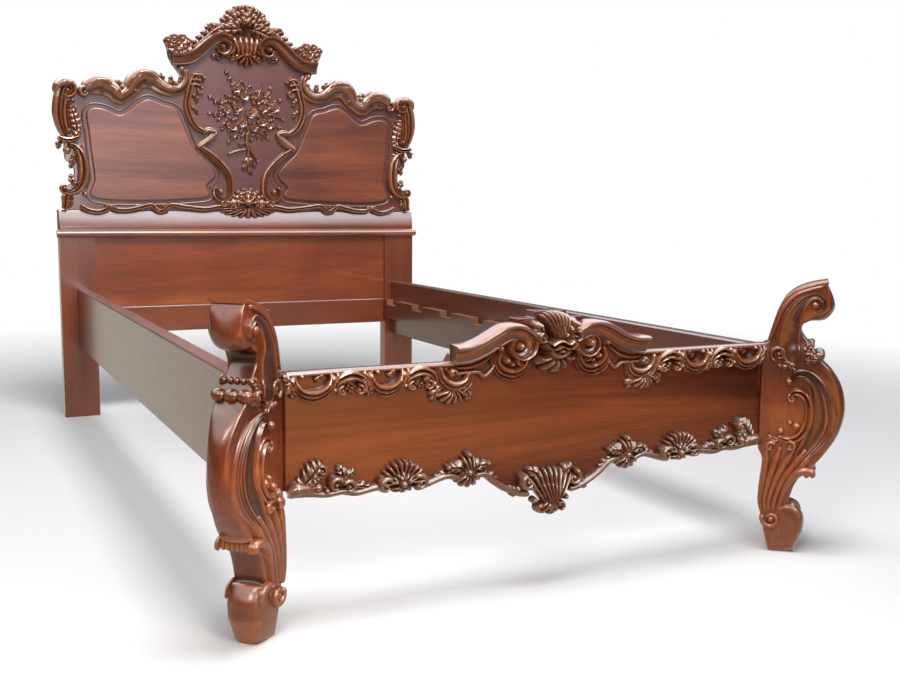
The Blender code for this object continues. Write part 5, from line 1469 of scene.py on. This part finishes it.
class BED_OT_stage(bpy.types.Operator):
    """Pale floor, soft lights and the camera"""

    bl_idname = "bed.stage"
    bl_label = "Stage"

    def execute(self, context):
        scene = context.scene
        scene.view_settings.view_transform = "Standard"
        bpy.ops.object.select_all(action="DESELECT")
        bpy.ops.mesh.primitive_plane_add(size=40.0, location=(0, 0, 0))
        floor = context.object
        floor.name = "floor"
        floor.data.materials.append(pale_floor())
        scene.world = pale_room()

        for name, spot, aim, size, power, colour in (
                ("ceiling_light", (-0.1, -1.3, 3.6), (0.1, 0.0, 0.5), 1.5, 132, (0.98, 0.98, 1.0)),
                ("window_light", (-2.5, -3.3, 2.6), (0, 0.2, 0.5), 0.8, 34, (1.0, 0.98, 0.95)),
                ("head_light", (-0.3, -0.5, 2.3), (0, 1.0, 0.9), 0.7, 8, (1.0, 0.97, 0.93)),
                ("foot_light", (-0.4, -1.8, 0.85), (-0.36, -1.1, 0.33), 0.4, 7, (1.0, 0.95, 0.88)),
                ("back_light", (-1.4, 2.2, 3.4), (-0.2, 0.2, 0.5), 2.6, 22, (0.95, 0.97, 1.0))):
            lamp = bpy.data.lights.new(name, "AREA")
            lamp.size = size
            lamp.energy = power
            lamp.color = colour
            holder = bpy.data.objects.new(name, lamp)
            scene.collection.objects.link(holder)
            holder.matrix_world = facing(spot, np.subtract(aim, spot))

        camera = bpy.data.cameras.new("camera")
        camera.lens = CAMERA_LENS
        camera.sensor_width = CAMERA_SENSOR
        holder = bpy.data.objects.new("camera", camera)
        scene.collection.objects.link(holder)
        level = math.cos(CAMERA_PITCH)
        way = (math.sin(CAMERA_YAW) * level, math.cos(CAMERA_YAW) * level, -math.sin(CAMERA_PITCH))
        holder.matrix_world = facing(CAMERA_SPOT, way, CAMERA_ROLL)
        scene.camera = holder
        return {"FINISHED"}


def facing(spot, way, roll=0.0):
    """The placing of a lamp or camera at a spot, looking along a way."""
    way = np.array(way, float) / np.linalg.norm(way)
    right = np.cross(way, (0, 0, 1))
    right = right / np.linalg.norm(right)
    up = np.cross(right, way)
    tilted = right * math.cos(roll) + up * math.sin(roll)
    up = np.cross(tilted, way)
    placing = Matrix.Identity(4)
    for k in range(3):
        placing[k][0], placing[k][1], placing[k][2], placing[k][3] = tilted[k], up[k], -way[k], spot[k]
    return placing


STEPS = ("stage", "timber", "boards", "waves", "pediment", "cartouche", "foot_crest", "foot_scrolls",
         "apron", "legs", "hardware")


class BED_PT_panel(bpy.types.Panel):
    """Lists the steps of the bed"""

    bl_idname = "BED_PT_panel"
    bl_label = "Carved Bed"
    bl_space_type = "VIEW_3D"
    bl_region_type = "UI"
    bl_category = "Bed"

    def draw(self, context):
        for group in (context.scene.bed_sizes, context.scene.bed_finish):
            for name in group.__annotations__:
                self.layout.prop(group, name)
        for step in STEPS:
            self.layout.operator("bed." + step)


CLASSES = (BedSizes, BedFinish, BED_OT_timber, BED_OT_boards, BED_OT_waves, BED_OT_pediment, BED_OT_cartouche,
           BED_OT_foot_crest, BED_OT_foot_scrolls, BED_OT_apron, BED_OT_legs, BED_OT_hardware, BED_OT_stage,
           BED_PT_panel)


def register():
    for made in CLASSES:
        bpy.utils.register_class(made)
    bpy.types.Scene.bed_sizes = bpy.props.PointerProperty(type=BedSizes)
    bpy.types.Scene.bed_finish = bpy.props.PointerProperty(type=BedFinish)


def unregister():
    del bpy.types.Scene.bed_finish
    del bpy.types.Scene.bed_sizes
    for made in reversed(CLASSES):
        bpy.utils.unregister_class(made)


def main():
    register()
    bpy.ops.bed.stage()
    bpy.ops.bed.timber()
    bpy.ops.bed.boards()
    bpy.ops.bed.waves()
    bpy.ops.bed.pediment()
    bpy.ops.bed.cartouche()
    bpy.ops.bed.foot_crest()
    bpy.ops.bed.foot_scrolls()
    bpy.ops.bed.apron()
    bpy.ops.bed.legs()
    bpy.ops.bed.hardware()


if __name__ == "__main__":
    main()
